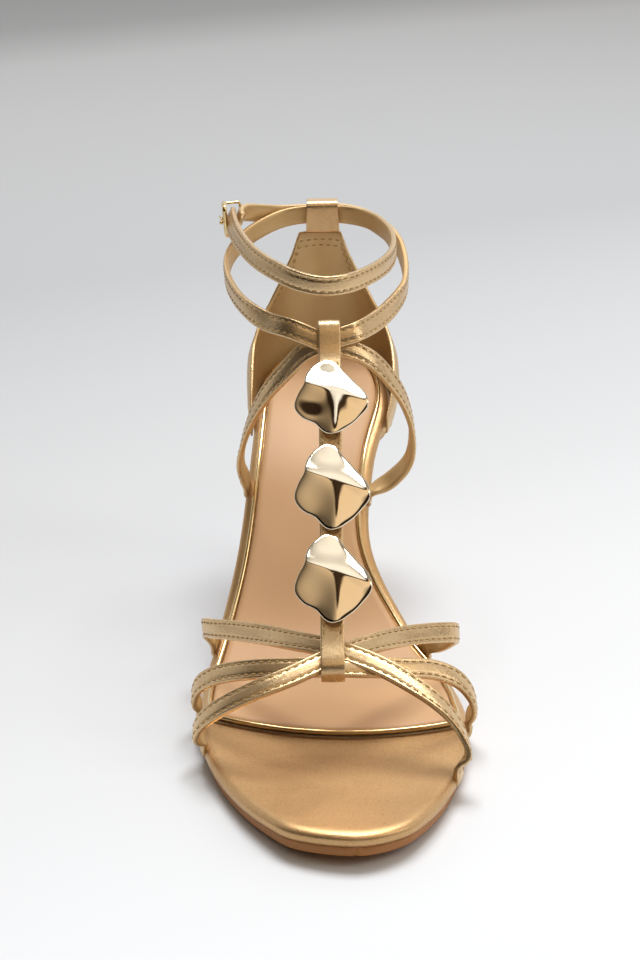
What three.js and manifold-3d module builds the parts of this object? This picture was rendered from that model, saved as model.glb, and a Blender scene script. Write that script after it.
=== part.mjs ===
import * as THREE from 'three';
import { mergeVertices } from 'three/addons/utils/BufferGeometryUtils.js';
import Module from 'manifold-3d';

// A high-heeled gladiator sandal for the right foot, in millimetres.
// The toe points to -Y, the heel to +Y, the inner (medial) side is +X and +Z is up.
// The origin is on the floor, at the centre of the flat tread under the ball of the foot.

const wasm = await Module();
wasm.setup();

// Footbed: its length is measured along the bed, from the toe tip to the back of the heel.
const BED_LENGTH = 245;
const BALL_WIDTH = 81;
const HEEL_RISE = 69;
const TOE_SLOPE = 7;
const SEAT_SLOPE = 16;
const BALL_AT = 0.294;

// Sole
const FIT_GAP = 0.3;
const BOARD_THICKNESS = 4;
const OUTSOLE_THICKNESS = 2.7;
const OUTSOLE_INSET = 1;
const RIM_STRIP = 2.6;
const PIPING_DIAMETER = 1.4;
const SOCK_THICKNESS = 2.2;

// Heel
const BREAST_AT = 0.835;
const HEEL_OUTSET = 2;
const HEEL_TIP_RADIUS = 7;
const HEEL_TIP_SETBACK = 17;
const TOP_PIECE_HEIGHT = 5;

// Counter and the loop above it
const COUNTER_WALL = 2;
const COUNTER_CLEARANCE = 0.6;
const COUNTER_HEIGHT = 42;
const COUNTER_LENGTH = 58;
const COUNTER_BULGE = 2.4;
const HEEL_LOOP_WIDTH = 11;
const HEEL_LOOP_WALL = 1.4;
const HEEL_LOOP_LAP = 12;
const HEEL_LOOP_ASIDE = 1;

// Straps
const STRAP_WIDTH = 6.2;
const STRAP_THICKNESS = 1.8;
const T_STRAP_WIDTH = 7;
const T_STRAP_THICKNESS = 1.4;
const TUCK_LENGTH = 6.5;
const STRAP_SUNK = 0.9;
const INSTEP_HEIGHT = 74;
const ANKLE_WIDTH = 62;
const ANKLE_DEPTH = 90;
const ANKLE_HEIGHT = 49.5;
const ANKLE_BACK = 1.2;

// Folded ends of the T-strap, and the ornaments on it
const TOE_LOOP_LENGTH = 15;
const ANKLE_LOOP_LENGTH = 15.5;
const ANKLE_LOOP_LIFT = -0.4;
const T_STRAP_BOW = 1.3;
const ORNAMENT_SIZE = 25;
const ORNAMENT_THICKNESS = 1.5;
const ORNAMENT_RIDGE = 1.6;
const ORNAMENT_RIDGE_WIDTH = 4.5;

// Buckle
const BUCKLE_WIDTH = 11.5;
const BUCKLE_LENGTH = 9;
const BUCKLE_BAR = 1.5;
const PRONG_DIAMETER = 1.3;
const KEEPER_WIDTH = 1.6;
const KEEPER_WALL = 1;
const KEEPER_GAP = 1;
const BUCKLE_AT = 0.3;

const SAMPLE_STEP = 4.5;

// How much of each named slope the footbed has on the way from toe to heel.
const BED_SLOPES = [
  { along: 0.00, toe: 1.0, shank: 0.0, seat: 0.0 },
  { along: 0.10, toe: 0.6, shank: 0.0, seat: 0.0 },
  { along: 0.21, toe: 0.0, shank: 0.0, seat: 0.0 },
  { along: 0.35, toe: 0.0, shank: 0.0, seat: 0.0 },
  { along: 0.42, toe: 0.0, shank: 0.35, seat: 0.0 },
  { along: 0.50, toe: 0.0, shank: 0.80, seat: 0.0 },
  { along: 0.57, toe: 0.0, shank: 1.0, seat: 0.0 },
  { along: 0.68, toe: 0.0, shank: 0.94, seat: 0.0 },
  { along: 0.78, toe: 0.0, shank: 0.36, seat: 0.6 },
  { along: 0.88, toe: 0.0, shank: 0.0, seat: 1.0 },
  { along: 1.00, toe: 0.0, shank: 0.0, seat: 1.0 },
];

// Outline of the footbed: its reach to each side of the middle line, in halves of the ball width.
const BED_OUTLINE = [
  { along: 0.00, lateral: -0.15, medial: 0.15 },
  { along: 0.02, lateral: 0.26, medial: 0.46 },
  { along: 0.06, lateral: 0.48, medial: 0.65 },
  { along: 0.12, lateral: 0.69, medial: 0.82 },
  { along: 0.20, lateral: 0.88, medial: 0.96 },
  { along: 0.29, lateral: 0.98, medial: 1.02 },
  { along: 0.39, lateral: 0.98, medial: 0.93 },
  { along: 0.49, lateral: 0.87, medial: 0.64 },
  { along: 0.61, lateral: 0.72, medial: 0.36 },
  { along: 0.735, lateral: 0.63, medial: 0.40 },
  { along: 0.86, lateral: 0.57, medial: 0.55 },
  { along: 0.94, lateral: 0.50, medial: 0.50 },
  { along: 0.983, lateral: 0.29, medial: 0.30 },
  { along: 1.00, lateral: 0.0, medial: 0.0 },
];

// Front edge of the sock, in shares of the bed's length and in halves of the ball width.
const SOCK_FRONT = {
  tip: { along: 0.245, across: 0.2 },
  lateral: { along: 0.298, across: -0.9 },
  medial: { along: 0.267, across: 0.94 },
};

// Middle of the foot inside the shoe, above the bed, and how flat the foot is there. The straps
// turn their faces away from it, and where they lie on the instep's slope also to the fore.
const FOOT_MIDDLE = [
  { along: 0.00, rise: 0.06, flat: 0.45, fore: 0.8 },
  { along: 0.34, rise: 0.06, flat: 0.45, fore: 0.8 },
  { along: 0.48, rise: 0.22, flat: 0.6, fore: 0.6 },
  { along: 0.60, rise: 0.45, flat: 1.1, fore: 0.5 },
  { along: 0.78, rise: 0.60, flat: 1.7, fore: 0.4 },
  { along: 0.80, rise: 1.60, flat: 1.9, fore: 0 },
];

// Straps over the toes: where each foot is tucked in, and its middle line over the foot.
// Across is in halves of the ball width, and rise is a share of the instep height above the bed.
const TOE_STRAPS = [
  {
    lateral: 0.467,
    medial: 0.156,
    line: [
      { along: 0.457, across: -0.97, rise: 0.10 },
      { along: 0.422, across: -0.89, rise: 0.19 },
      { along: 0.380, across: -0.71, rise: 0.27 },
      { along: 0.337, across: -0.51, rise: 0.325 },
      { along: 0.294, across: -0.29, rise: 0.365 },
      { along: 0.253, across: 0.02, rise: 0.387 },
      { along: 0.232, across: 0.32, rise: 0.352 },
      { along: 0.216, across: 0.53, rise: 0.307 },
      { along: 0.197, across: 0.74, rise: 0.246 },
      { along: 0.180, across: 0.87, rise: 0.186 },
      { along: 0.167, across: 0.94, rise: 0.120 },
      { along: 0.159, across: 0.955, rise: 0.062 },
    ],
  },
  {
    lateral: 0.240,
    medial: 0.452,
    line: [
      { along: 0.230, across: -0.985, rise: 0.065 },
      { along: 0.222, across: -0.93, rise: 0.135 },
      { along: 0.211, across: -0.79, rise: 0.210 },
      { along: 0.208, across: -0.56, rise: 0.280 },
      { along: 0.217, across: -0.28, rise: 0.330 },
      { along: 0.243, across: 0.02, rise: 0.366 },
      { along: 0.290, across: 0.33, rise: 0.349 },
      { along: 0.330, across: 0.56, rise: 0.314 },
      { along: 0.364, across: 0.79, rise: 0.271 },
      { along: 0.390, across: 0.95, rise: 0.222 },
      { along: 0.416, across: 0.98, rise: 0.155 },
      { along: 0.439, across: 0.88, rise: 0.062 },
    ],
  },
  {
    lateral: 0.327,
    medial: 0.278,
    line: [
      { along: 0.318, across: -1.02, rise: 0.070 },
      { along: 0.310, across: -0.99, rise: 0.136 },
      { along: 0.296, across: -0.90, rise: 0.198 },
      { along: 0.278, across: -0.765, rise: 0.250 },
      { along: 0.256, across: -0.56, rise: 0.298 },
      { along: 0.237, across: -0.23, rise: 0.333 },
      { along: 0.230, across: 0.02, rise: 0.345 },
      { along: 0.231, across: 0.25, rise: 0.337 },
      { along: 0.243, across: 0.51, rise: 0.313 },
      { along: 0.262, across: 0.76, rise: 0.270 },
      { along: 0.270, across: 0.92, rise: 0.218 },
      { along: 0.272, across: 1.015, rise: 0.155 },
      { along: 0.272, across: 1.055, rise: 0.080 },
    ],
  },
];

// Straps from the arch up to their crossing on the instep, in the same shares.
const MEDIAL_ARCH = {
  foot: 0.686,
  line: [
    { along: 0.679, across: 0.53, rise: 0.090 },
    { along: 0.668, across: 0.68, rise: 0.220 },
    { along: 0.653, across: 0.705, rise: 0.400 },
    { along: 0.633, across: 0.64, rise: 0.600 },
    { along: 0.612, across: 0.53, rise: 0.765 },
    { along: 0.598, across: 0.38, rise: 0.897 },
    { along: 0.590, across: 0.22, rise: 0.968 },
    { along: 0.586, across: 0.05, rise: 1.006 },
  ],
};
const LATERAL_ARCH = {
  foot: 0.704,
  line: [
    { along: 0.694, across: -0.665, rise: 0.075 },
    { along: 0.677, across: -0.69, rise: 0.190 },
    { along: 0.662, across: -0.66, rise: 0.330 },
    { along: 0.642, across: -0.575, rise: 0.515 },
    { along: 0.622, across: -0.455, rise: 0.685 },
    { along: 0.607, across: -0.30, rise: 0.825 },
    { along: 0.596, across: -0.15, rise: 0.940 },
    { along: 0.585, across: 0.05, rise: 1.024 },
  ],
};

// Straps around the ankle. Ahead is a share of the ankle depth from the back of the heel,
// across is in halves of the ankle width, and rise is a share of the ankle height above the seat.
// Lean turns a strap's face up where it lies on the swell of the ankle.
const INNER_ANKLE = [
  { ahead: 0.985, across: -0.29, rise: 0.682 },
  { ahead: 0.889, across: -0.58, rise: 0.694 },
  { ahead: 0.772, across: -0.80, rise: 0.730 },
  { ahead: 0.606, across: -0.965, rise: 0.782 },
  { ahead: 0.456, across: -1.02, rise: 0.832 },
  { ahead: 0.340, across: -0.985, rise: 0.872 },
  { ahead: 0.215, across: -0.86, rise: 0.915 },
  { ahead: 0.094, across: -0.64, rise: 0.956 },
  { ahead: 0.026, across: -0.42, rise: 0.985 },
  { ahead: 0.005, across: -0.20, rise: 1.0 },
  { ahead: 0.000, across: 0.03, rise: 1.0 },
  { ahead: 0.012, across: 0.26, rise: 1.0 },
  { ahead: 0.070, across: 0.47, rise: 1.0 },
  { ahead: 0.170, across: 0.63, rise: 1.0 },
  { ahead: 0.310, across: 0.735, rise: 0.997 },
  { ahead: 0.450, across: 0.78, rise: 0.992 },
  { ahead: 0.593, across: 0.765, rise: 0.985 },
  { ahead: 0.720, across: 0.68, rise: 0.975 },
  { ahead: 0.850, across: 0.49, rise: 0.965 },
  { ahead: 0.955, across: 0.24, rise: 0.962 },
  { ahead: 0.985, across: 0.01, rise: 0.966 },
  { ahead: 0.948, across: -0.22, rise: 0.980 },
  { ahead: 0.853, across: -0.46, rise: 1.004, lean: 0.1 },
  { ahead: 0.725, across: -0.68, rise: 1.034, lean: 0.2 },
  { ahead: 0.567, across: -0.84, rise: 1.068, lean: 0.3 },
  { ahead: 0.390, across: -0.945, rise: 1.094, lean: 0.4 },
  { ahead: 0.230, across: -0.985, rise: 1.104, lean: 0.4 },
];
const OUTER_ANKLE = [
  { ahead: 0.990, across: 0.31, rise: 0.655 },
  { ahead: 0.900, across: 0.53, rise: 0.675 },
  { ahead: 0.781, across: 0.72, rise: 0.709 },
  { ahead: 0.644, across: 0.87, rise: 0.760 },
  { ahead: 0.510, across: 0.91, rise: 0.808 },
  { ahead: 0.390, across: 0.90, rise: 0.855 },
  { ahead: 0.270, across: 0.85, rise: 0.900 },
  { ahead: 0.140, across: 0.71, rise: 0.945 },
  { ahead: 0.030, across: 0.49, rise: 0.985 },
  { ahead: -0.020, across: 0.25, rise: 1.0 },
  { ahead: -0.028, across: 0.02, rise: 1.0 },
  { ahead: -0.022, across: -0.22, rise: 1.0 },
  { ahead: 0.008, across: -0.45, rise: 1.010 },
  { ahead: 0.065, across: -0.67, rise: 1.045, lean: 0.15 },
  { ahead: 0.145, across: -0.84, rise: 1.085, lean: 0.3 },
  { ahead: 0.235, across: -0.895, rise: 1.100, lean: 0.4 },
  { ahead: 0.315, across: -0.870, rise: 1.094, lean: 0.4 },
];

// Top edge of the counter: share of its length from the back, and shares of its height and of
// its wall there.
const COUNTER_TOP = [
  { reach: 0.00, height: 1.0, wall: 1 },
  { reach: 0.12, height: 1.0, wall: 1 },
  { reach: 0.16, height: 0.84, wall: 1 },
  { reach: 0.24, height: 0.65, wall: 1 },
  { reach: 0.33, height: 0.50, wall: 1 },
  { reach: 0.42, height: 0.40, wall: 1 },
  { reach: 0.54, height: 0.31, wall: 1 },
  { reach: 0.70, height: 0.22, wall: 0.9 },
  { reach: 0.85, height: 0.13, wall: 0.7 },
  { reach: 1.00, height: 0.03, wall: 0.3 },
];

// Levels of the counter's wall: share of the top edge's height, and share of the bulge there.
const COUNTER_LEVELS = [
  { up: 0.0, bulge: 0.25 },
  { up: 0.18, bulge: 0.7 },
  { up: 0.4, bulge: 1.0 },
  { up: 0.7, bulge: 0.95 },
  { up: 1.0, bulge: 0.6 },
];

// The heel from its seat down to the top piece, and how far it has closed on its tip.
const HEEL_TAPER = [
  { down: 0.00, closed: 0.0 },
  { down: 0.06, closed: 0.03 },
  { down: 0.18, closed: 0.30 },
  { down: 0.32, closed: 0.60 },
  { down: 0.50, closed: 0.82 },
  { down: 0.72, closed: 0.95 },
  { down: 1.00, closed: 1.0 },
];

// Outline of one wavy ornament: direction in degrees and reach in halves of its size.
const ORNAMENT_OUTLINE = [
  { turn: 0, reach: 0.86 },
  { turn: 22.5, reach: 0.72 },
  { turn: 45, reach: 0.70 },
  { turn: 67.5, reach: 0.80 },
  { turn: 90, reach: 1.07 },
  { turn: 112.5, reach: 0.98 },
  { turn: 135, reach: 0.82 },
  { turn: 157.5, reach: 0.69 },
  { turn: 180, reach: 0.78 },
  { turn: 202.5, reach: 0.93 },
  { turn: 225, reach: 0.95 },
  { turn: 247.5, reach: 0.94 },
  { turn: 270, reach: 1.21 },
  { turn: 292.5, reach: 1.07 },
  { turn: 315, reach: 0.98 },
  { turn: 337.5, reach: 0.99 },
];

// Ridges of an ornament, from one end to the other, in halves of its size.
const ORNAMENT_RIDGES = [
  { from: [-0.64, 0.32], to: [0.88, -0.24] },
  { from: [0.16, -0.08], to: [0.12, -1.2] },
];

// Places of the ornaments along the T-strap, from the toe loop up, and their heights as shares
// of the outline's.
const ORNAMENTS = [
  { at: 0.831, height: 0.94 },
  { at: 0.516, height: 1 },
  { at: 0.208, height: 1 },
];

const degrees = THREE.MathUtils.degToRad;
const HALF_BALL = BALL_WIDTH / 2;
const TREAD_TO_BED = OUTSOLE_THICKNESS + FIT_GAP + BOARD_THICKNESS;
const OUTSOLE_TOP = BOARD_THICKNESS + FIT_GAP;

// Value of a table's column at a place between its rows.
function lookUp(rows, key, place, column) {
  const next = rows.findIndex((row) => row[key] >= place);
  if (next === 0) return rows[0][column];
  if (next < 0) return rows[rows.length - 1][column];
  const from = rows[next - 1];
  const to = rows[next];
  const share = (place - from[key]) / (to[key] - from[key]);
  return THREE.MathUtils.lerp(from[column], to[column], share);
}

// Side view of the footbed for one slope of the shank, from the toe tip to the heel.
function bedProfile(shankSlope) {
  const steps = 200;
  const step = BED_LENGTH / steps;
  const profile = [];
  let y = 0;
  let z = 0;
  for (let i = 0; i <= steps; i++) {
    const along = i / steps;
    const slope = degrees(
      -TOE_SLOPE * lookUp(BED_SLOPES, 'along', along, 'toe')
      + shankSlope * lookUp(BED_SLOPES, 'along', along, 'shank')
      + SEAT_SLOPE * lookUp(BED_SLOPES, 'along', along, 'seat'),
    );
    if (i > 0) {
      const middle = (profile[i - 1].slope + slope) / 2;
      y += step * Math.cos(middle);
      z += step * Math.sin(middle);
    }
    profile.push({ along, y, z, slope });
  }
  return profile;
}

const riseOf = (profile) => {
  return profile[profile.length - 1].z - lookUp(profile, 'along', BALL_AT, 'z');
};

// The shank's slope is the one that lifts the seat to the named heel rise.
function solveShankSlope() {
  let low = 0;
  let high = 80;
  for (let i = 0; i < 40; i++) {
    const middle = (low + high) / 2;
    if (riseOf(bedProfile(middle)) < HEEL_RISE) low = middle;
    else high = middle;
  }
  return (low + high) / 2;
}

const PROFILE = bedProfile(solveShankSlope());
const BALL_Y = lookUp(PROFILE, 'along', BALL_AT, 'y');
const BALL_Z = lookUp(PROFILE, 'along', BALL_AT, 'z');

// A point over or under the footbed, square to it: above is negative below its top.
function bedPoint(along, across, above) {
  const slope = lookUp(PROFILE, 'along', along, 'slope');
  const y = lookUp(PROFILE, 'along', along, 'y') - BALL_Y;
  const z = lookUp(PROFILE, 'along', along, 'z') - BALL_Z + TREAD_TO_BED;
  return new THREE.Vector3(across, y - Math.sin(slope) * above, z + Math.cos(slope) * above);
}

const SEAT_BACK = bedPoint(1, 0, 0);

// A point on the foot, straight above the bed.
function onFoot({ along, across, rise }) {
  const point = bedPoint(along, across * HALF_BALL, 0);
  point.z += rise * INSTEP_HEIGHT;
  return point;
}

// A point around the ankle.
function onAnkle({ ahead, across, rise }) {
  return new THREE.Vector3(
    across * ANKLE_WIDTH / 2,
    SEAT_BACK.y + ANKLE_BACK - ahead * ANKLE_DEPTH,
    SEAT_BACK.z + rise * ANKLE_HEIGHT,
  );
}

// A closed mesh from rings of equal length, joined in order. It is capped at both ends,
// point i to point n - i, or runs around into itself.
function loft(rings, around = false) {
  const count = rings[0].length;
  const positions = rings.flat().flatMap((point) => point.toArray());
  const faces = [];
  const last = around ? rings.length : rings.length - 1;
  for (let r = 0; r < last; r++) {
    const here = r * count;
    const there = ((r + 1) % rings.length) * count;
    for (let i = 0; i < count; i++) {
      const j = (i + 1) % count;
      faces.push(here + i, there + i, there + j, here + i, there + j, here + j);
    }
  }
  if (!around) {
    const end = (rings.length - 1) * count;
    for (let i = 0; i < count / 2; i++) {
      const a = (count - i) % count;
      const b = count - i - 1;
      const quad = i + 1 === b ? [[i, i + 1, a]] : [[i, i + 1, b], [i, b, a]];
      for (const [p, q, s] of quad) {
        if (p === s || q === s) continue;
        faces.push(p, q, s);
        faces.push(end + p, end + s, end + q);
      }
    }
  }
  const geometry = new THREE.BufferGeometry();
  geometry.setAttribute('position', new THREE.Float32BufferAttribute(positions, 3));
  geometry.setIndex(faces);
  return facingOut(geometry);
}

// Turns a closed mesh the right way out.
function facingOut(geometry) {
  const position = geometry.getAttribute('position');
  const index = geometry.getIndex().array;
  const [a, b, c] = [new THREE.Vector3(), new THREE.Vector3(), new THREE.Vector3()];
  let volume = 0;
  for (let i = 0; i < index.length; i += 3) {
    a.fromBufferAttribute(position, index[i]);
    b.fromBufferAttribute(position, index[i + 1]);
    c.fromBufferAttribute(position, index[i + 2]);
    volume += a.dot(b.cross(c));
  }
  if (volume < 0) {
    for (let i = 0; i < index.length; i += 3) {
      [index[i + 1], index[i + 2]] = [index[i + 2], index[i + 1]];
    }
  }
  return geometry;
}

function toSolid(geometry) {
  const bare = geometry.clone();
  bare.deleteAttribute('normal');
  bare.deleteAttribute('uv');
  const merged = mergeVertices(bare);
  return new wasm.Manifold(new wasm.Mesh({
    numProp: 3,
    vertProperties: Float32Array.from(merged.getAttribute('position').array),
    triVerts: Uint32Array.from(merged.getIndex().array),
  }));
}

function toGeometry(solid) {
  const mesh = solid.getMesh();
  const geometry = new THREE.BufferGeometry();
  geometry.setAttribute('position', new THREE.Float32BufferAttribute(mesh.vertProperties, 3));
  geometry.setIndex(Array.from(mesh.triVerts));
  return geometry;
}

const joined = (geometries) => geometries.map(toSolid).reduce((whole, solid) => whole.add(solid));
const cutBy = (geometry, cutter) => toGeometry(toSolid(geometry).subtract(cutter));

// Outline of the bed as one closed run of points (distance along, reach across): down the
// medial side to the heel and back up the lateral side. Point i faces point n - i.
function bedOutline() {
  const stepsPerRow = 3;
  const place = (along, reach) => new THREE.Vector3(along * BED_LENGTH, reach * HALF_BALL, 0);
  const medial = BED_OUTLINE.map((row) => place(row.along, row.medial));
  const lateral = BED_OUTLINE.slice(1, -1).reverse().map((row) => place(row.along, -row.lateral));
  const curve = new THREE.CatmullRomCurve3([...medial, ...lateral], true, 'catmullrom', 0.5);
  const count = (medial.length + lateral.length) * stepsPerRow;
  return Array.from({ length: count }, (_, i) => {
    const point = curve.getPoint(i / count);
    return new THREE.Vector2(THREE.MathUtils.clamp(point.x, 0, BED_LENGTH), point.y);
  });
}

const OUTLINE = bedOutline();

// Outward direction of the outline at a point of it.
function outwardAt(outline, i) {
  const count = outline.length;
  const before = outline[(i + count - 1) % count];
  const after = outline[(i + 1) % count];
  return new THREE.Vector2(before.y - after.y, after.x - before.x).normalize();
}

function inset(outline, distance) {
  return outline.map((point, i) => point.clone().addScaledVector(outwardAt(outline, i), -distance));
}

// A sheet of the sole: one ring of points for each level, from its upper to its lower face.
function sheet(outline, levels) {
  return loft(levels.map(({ inwards, above }) => {
    return inset(outline, inwards).map((point) => bedPoint(point.x / BED_LENGTH, point.y, above));
  }));
}

// The stretch of the outline between two places along the bed, closed straight across.
function stretch(outline, from, to) {
  const half = outline.length / 2;
  const stations = [];
  for (let i = 0; i <= half; i++) {
    const facing = outline[(2 * half - i) % (2 * half)];
    stations.push({ along: outline[i].x, medial: outline[i].y, lateral: facing.y });
  }
  const at = (place) => ({
    along: place,
    medial: lookUp(stations, 'along', place, 'medial'),
    lateral: lookUp(stations, 'along', place, 'lateral'),
  });
  const clearOfEnds = 1;
  const inside = stations.filter(({ along }) => along > from + clearOfEnds && along < to - clearOfEnds);
  const open = (place) => place > 0 && place < BED_LENGTH;
  const rows = [
    ...(open(from) ? [at(from)] : stations.slice(0, 1)),
    ...inside,
    ...(open(to) ? [at(to)] : stations.slice(-1)),
  ];
  const medial = rows.map((row) => new THREE.Vector2(row.along, row.medial));
  const lateral = rows.filter((row) => Math.abs(row.medial - row.lateral) > 0.01).reverse()
    .map((row) => new THREE.Vector2(row.along, row.lateral));
  return [...medial, ...lateral];
}

// Straps

// Direction in which a strap at a point turns its face: away from the middle of the foot, and
// to the fore where it lies on a slope.
function faceAt(point) {
  const middle = FOOT_MIDDLE.map((row) => {
    const place = onFoot({ along: row.along, across: 0, rise: row.rise });
    return { place, flat: row.flat, fore: row.fore };
  });
  const nearest = new THREE.Vector3();
  const found = new THREE.Vector3();
  let flat = 1;
  let fore = 0;
  let best = Infinity;
  for (let i = 0; i + 1 < middle.length; i++) {
    const line = new THREE.Line3(middle[i].place, middle[i + 1].place);
    const share = line.closestPointToPointParameter(new THREE.Vector3(0, point.y, point.z), true);
    line.at(share, found);
    const distance = found.distanceTo(new THREE.Vector3(0, point.y, point.z));
    if (distance < best) {
      best = distance;
      nearest.copy(found);
      flat = THREE.MathUtils.lerp(middle[i].flat, middle[i + 1].flat, share);
      fore = THREE.MathUtils.lerp(middle[i].fore, middle[i + 1].fore, share);
    }
  }
  const face = new THREE.Vector3(point.x * flat, point.y - nearest.y, point.z - nearest.z).normalize();
  face.y -= fore * Math.max(0, face.z);
  return face.normalize();
}

function freePoint(at, lean = 0) {
  const face = faceAt(at);
  face.z += lean;
  return { at, face: face.normalize() };
}

// A strap's foot, from beside the sole's edge to its end under the board.
function tuckedFoot(along, side) {
  const wanted = side === 'medial' ? 1 : -1;
  const place = along * BED_LENGTH;
  const run = OUTLINE.map((point, i) => ({ point, outward: outwardAt(OUTLINE, i) }))
    .filter(({ outward }) => outward.y * wanted > 0)
    .sort((a, b) => a.point.x - b.point.x)
    .map(({ point, outward }) => ({ x: point.x, y: point.y, outX: outward.x, outY: outward.y }));
  const edge = lookUp(run, 'x', place, 'y');
  const outX = lookUp(run, 'x', place, 'outX');
  const outY = lookUp(run, 'x', place, 'outY');
  const up = bedPoint(along, 0, 1).sub(bedPoint(along, 0, 0));
  const forward = bedPoint(along + 0.001, 0, 0).sub(bedPoint(along - 0.001, 0, 0)).normalize();
  const outward = forward.multiplyScalar(outX).add(new THREE.Vector3(outY, 0, 0)).normalize();
  const beside = STRAP_THICKNESS / 2 - STRAP_SUNK;
  const bend = STRAP_THICKNESS * 0.7;
  const below = BOARD_THICKNESS - STRAP_THICKNESS / 2 - FIT_GAP / 2;
  const point = (out, above, outShare) => ({
    at: bedPoint(along, edge, above).addScaledVector(outward, out),
    face: outward.clone().multiplyScalar(outShare).addScaledVector(up, outShare - 1).normalize(),
  });
  const diagonal = bend * Math.SQRT1_2;
  return [
    point(beside, STRAP_THICKNESS, 1),
    point(beside, bend - below, 1),
    point(beside - bend + diagonal, bend - below - diagonal, 0.5),
    point(beside - bend, -below, 0),
    point(-TUCK_LENGTH, -below, 0),
  ];
}

// Section of a strap with folded, rounded edges, as offsets across its width and its thickness.
function strapSection(width, thickness) {
  const fold = thickness * 0.3;
  const w = width / 2;
  const t = thickness / 2;
  const quarter = [[w, t - fold], [w - fold, t]];
  const upper = [...quarter, ...quarter.map(([a, b]) => [-a, b]).reverse()];
  return [[w, fold - t], ...upper, ...quarter.map(([a, b]) => [-a, -b]), [w - fold, -t]];
}

// A flat strap along a route of points, each with the direction that its face turns to.
// With a clearance it is the room that the strap needs.
function strap(route, width, thickness, clearance = 0) {
  const line = new THREE.CatmullRomCurve3(route.map(({ at }) => at), false, 'centripetal');
  const faces = new THREE.CatmullRomCurve3(route.map(({ face }) => face), false, 'centripetal');
  const section = strapSection(width + 2 * clearance, thickness + 2 * clearance);
  const places = [];
  for (let i = 0; i + 1 < route.length; i++) {
    const length = route[i].at.distanceTo(route[i + 1].at);
    const steps = Math.max(1, Math.round(length / SAMPLE_STEP));
    for (let k = 0; k < steps; k++) places.push((i + k / steps) / (route.length - 1));
  }
  places.push(1);
  return loft(places.map((place) => {
    const at = line.getPoint(place);
    const along = line.getTangent(place);
    if (clearance && place === 0) at.addScaledVector(along, -clearance);
    if (clearance && place === 1) at.addScaledVector(along, clearance);
    const face = faces.getPoint(place);
    face.addScaledVector(along, -face.dot(along)).normalize();
    const across = along.clone().cross(face);
    return section.map(([a, b]) => at.clone().addScaledVector(across, a).addScaledVector(face, b));
  }));
}

const toeRoutes = TOE_STRAPS.map(({ lateral, medial, line }) => [
  ...tuckedFoot(lateral, 'lateral').reverse(),
  ...line.map((place) => freePoint(onFoot(place))),
  ...tuckedFoot(medial, 'medial'),
]);
const ankleRoutes = [
  [
    ...tuckedFoot(MEDIAL_ARCH.foot, 'medial').reverse(),
    ...MEDIAL_ARCH.line.map((place) => freePoint(onFoot(place))),
    ...INNER_ANKLE.map((place) => freePoint(onAnkle(place), place.lean)),
  ],
  [
    ...tuckedFoot(LATERAL_ARCH.foot, 'lateral').reverse(),
    ...LATERAL_ARCH.line.map((place) => freePoint(onFoot(place))),
    ...OUTER_ANKLE.map((place) => freePoint(onAnkle(place), place.lean)),
  ],
];
const strapsOf = (routes, clearance) => {
  return joined(routes.map((route) => strap(route, STRAP_WIDTH, STRAP_THICKNESS, clearance)));
};
const toeStraps = strapsOf(toeRoutes, 0);
const toeRoom = strapsOf(toeRoutes, FIT_GAP);
const ankleStraps = strapsOf(ankleRoutes, 0);
const ankleRoom = strapsOf(ankleRoutes, FIT_GAP);
const strapRoom = toeRoom.add(ankleRoom);

// Middle of a crossing: the mean of the routes' points nearest the shoe's middle line.
function crossingOf(places) {
  const middle = new THREE.Vector3();
  places.forEach((place) => middle.addScaledVector(onFoot(place), 1 / places.length));
  return { middle, face: faceAt(middle).setX(0).normalize() };
}

const toeCrossing = crossingOf(TOE_STRAPS.map(({ line }) => line.find(({ across }) => across > 0)));
const ankleCrossing = crossingOf([MEDIAL_ARCH.line.at(-1), LATERAL_ARCH.line.at(-1)]);

// A band folded round a crossing: a flat ring seen from the side, as wide as the T-strap.
// Lift moves it up the foot from the crossing's middle.
function foldedLoop({ middle, face }, length, lift, layers) {
  const room = layers * STRAP_THICKNESS / 2 + FIT_GAP;
  const round = room + T_STRAP_THICKNESS;
  const shape = new THREE.Shape();
  const reach = length / 2 - round;
  shape.absarc(reach, 0, round, -Math.PI / 2, Math.PI / 2);
  shape.absarc(-reach, 0, round, Math.PI / 2, 3 * Math.PI / 2);
  const hole = new THREE.Path();
  hole.absarc(reach, 0, room, -Math.PI / 2, Math.PI / 2);
  hole.absarc(-reach, 0, room, Math.PI / 2, 3 * Math.PI / 2);
  shape.holes.push(hole);
  const options = { depth: T_STRAP_WIDTH, bevelEnabled: false, curveSegments: 6 };
  const geometry = new THREE.ExtrudeGeometry(shape, options);
  geometry.translate(0, 0, -T_STRAP_WIDTH / 2);
  const upFoot = new THREE.Vector3(1, 0, 0).cross(face).negate();
  const basis = new THREE.Matrix4().makeBasis(upFoot, face, upFoot.clone().cross(face));
  const centre = middle.clone().addScaledVector(upFoot, lift);
  basis.setPosition(centre);
  return { geometry: geometry.applyMatrix4(basis), centre, face, upFoot, outer: round };
}

const toeLoop = foldedLoop(toeCrossing, TOE_LOOP_LENGTH, 0, TOE_STRAPS.length);
const ankleLoop = foldedLoop(ankleCrossing, ANKLE_LOOP_LENGTH, ANKLE_LOOP_LIFT, ankleRoutes.length);

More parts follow.
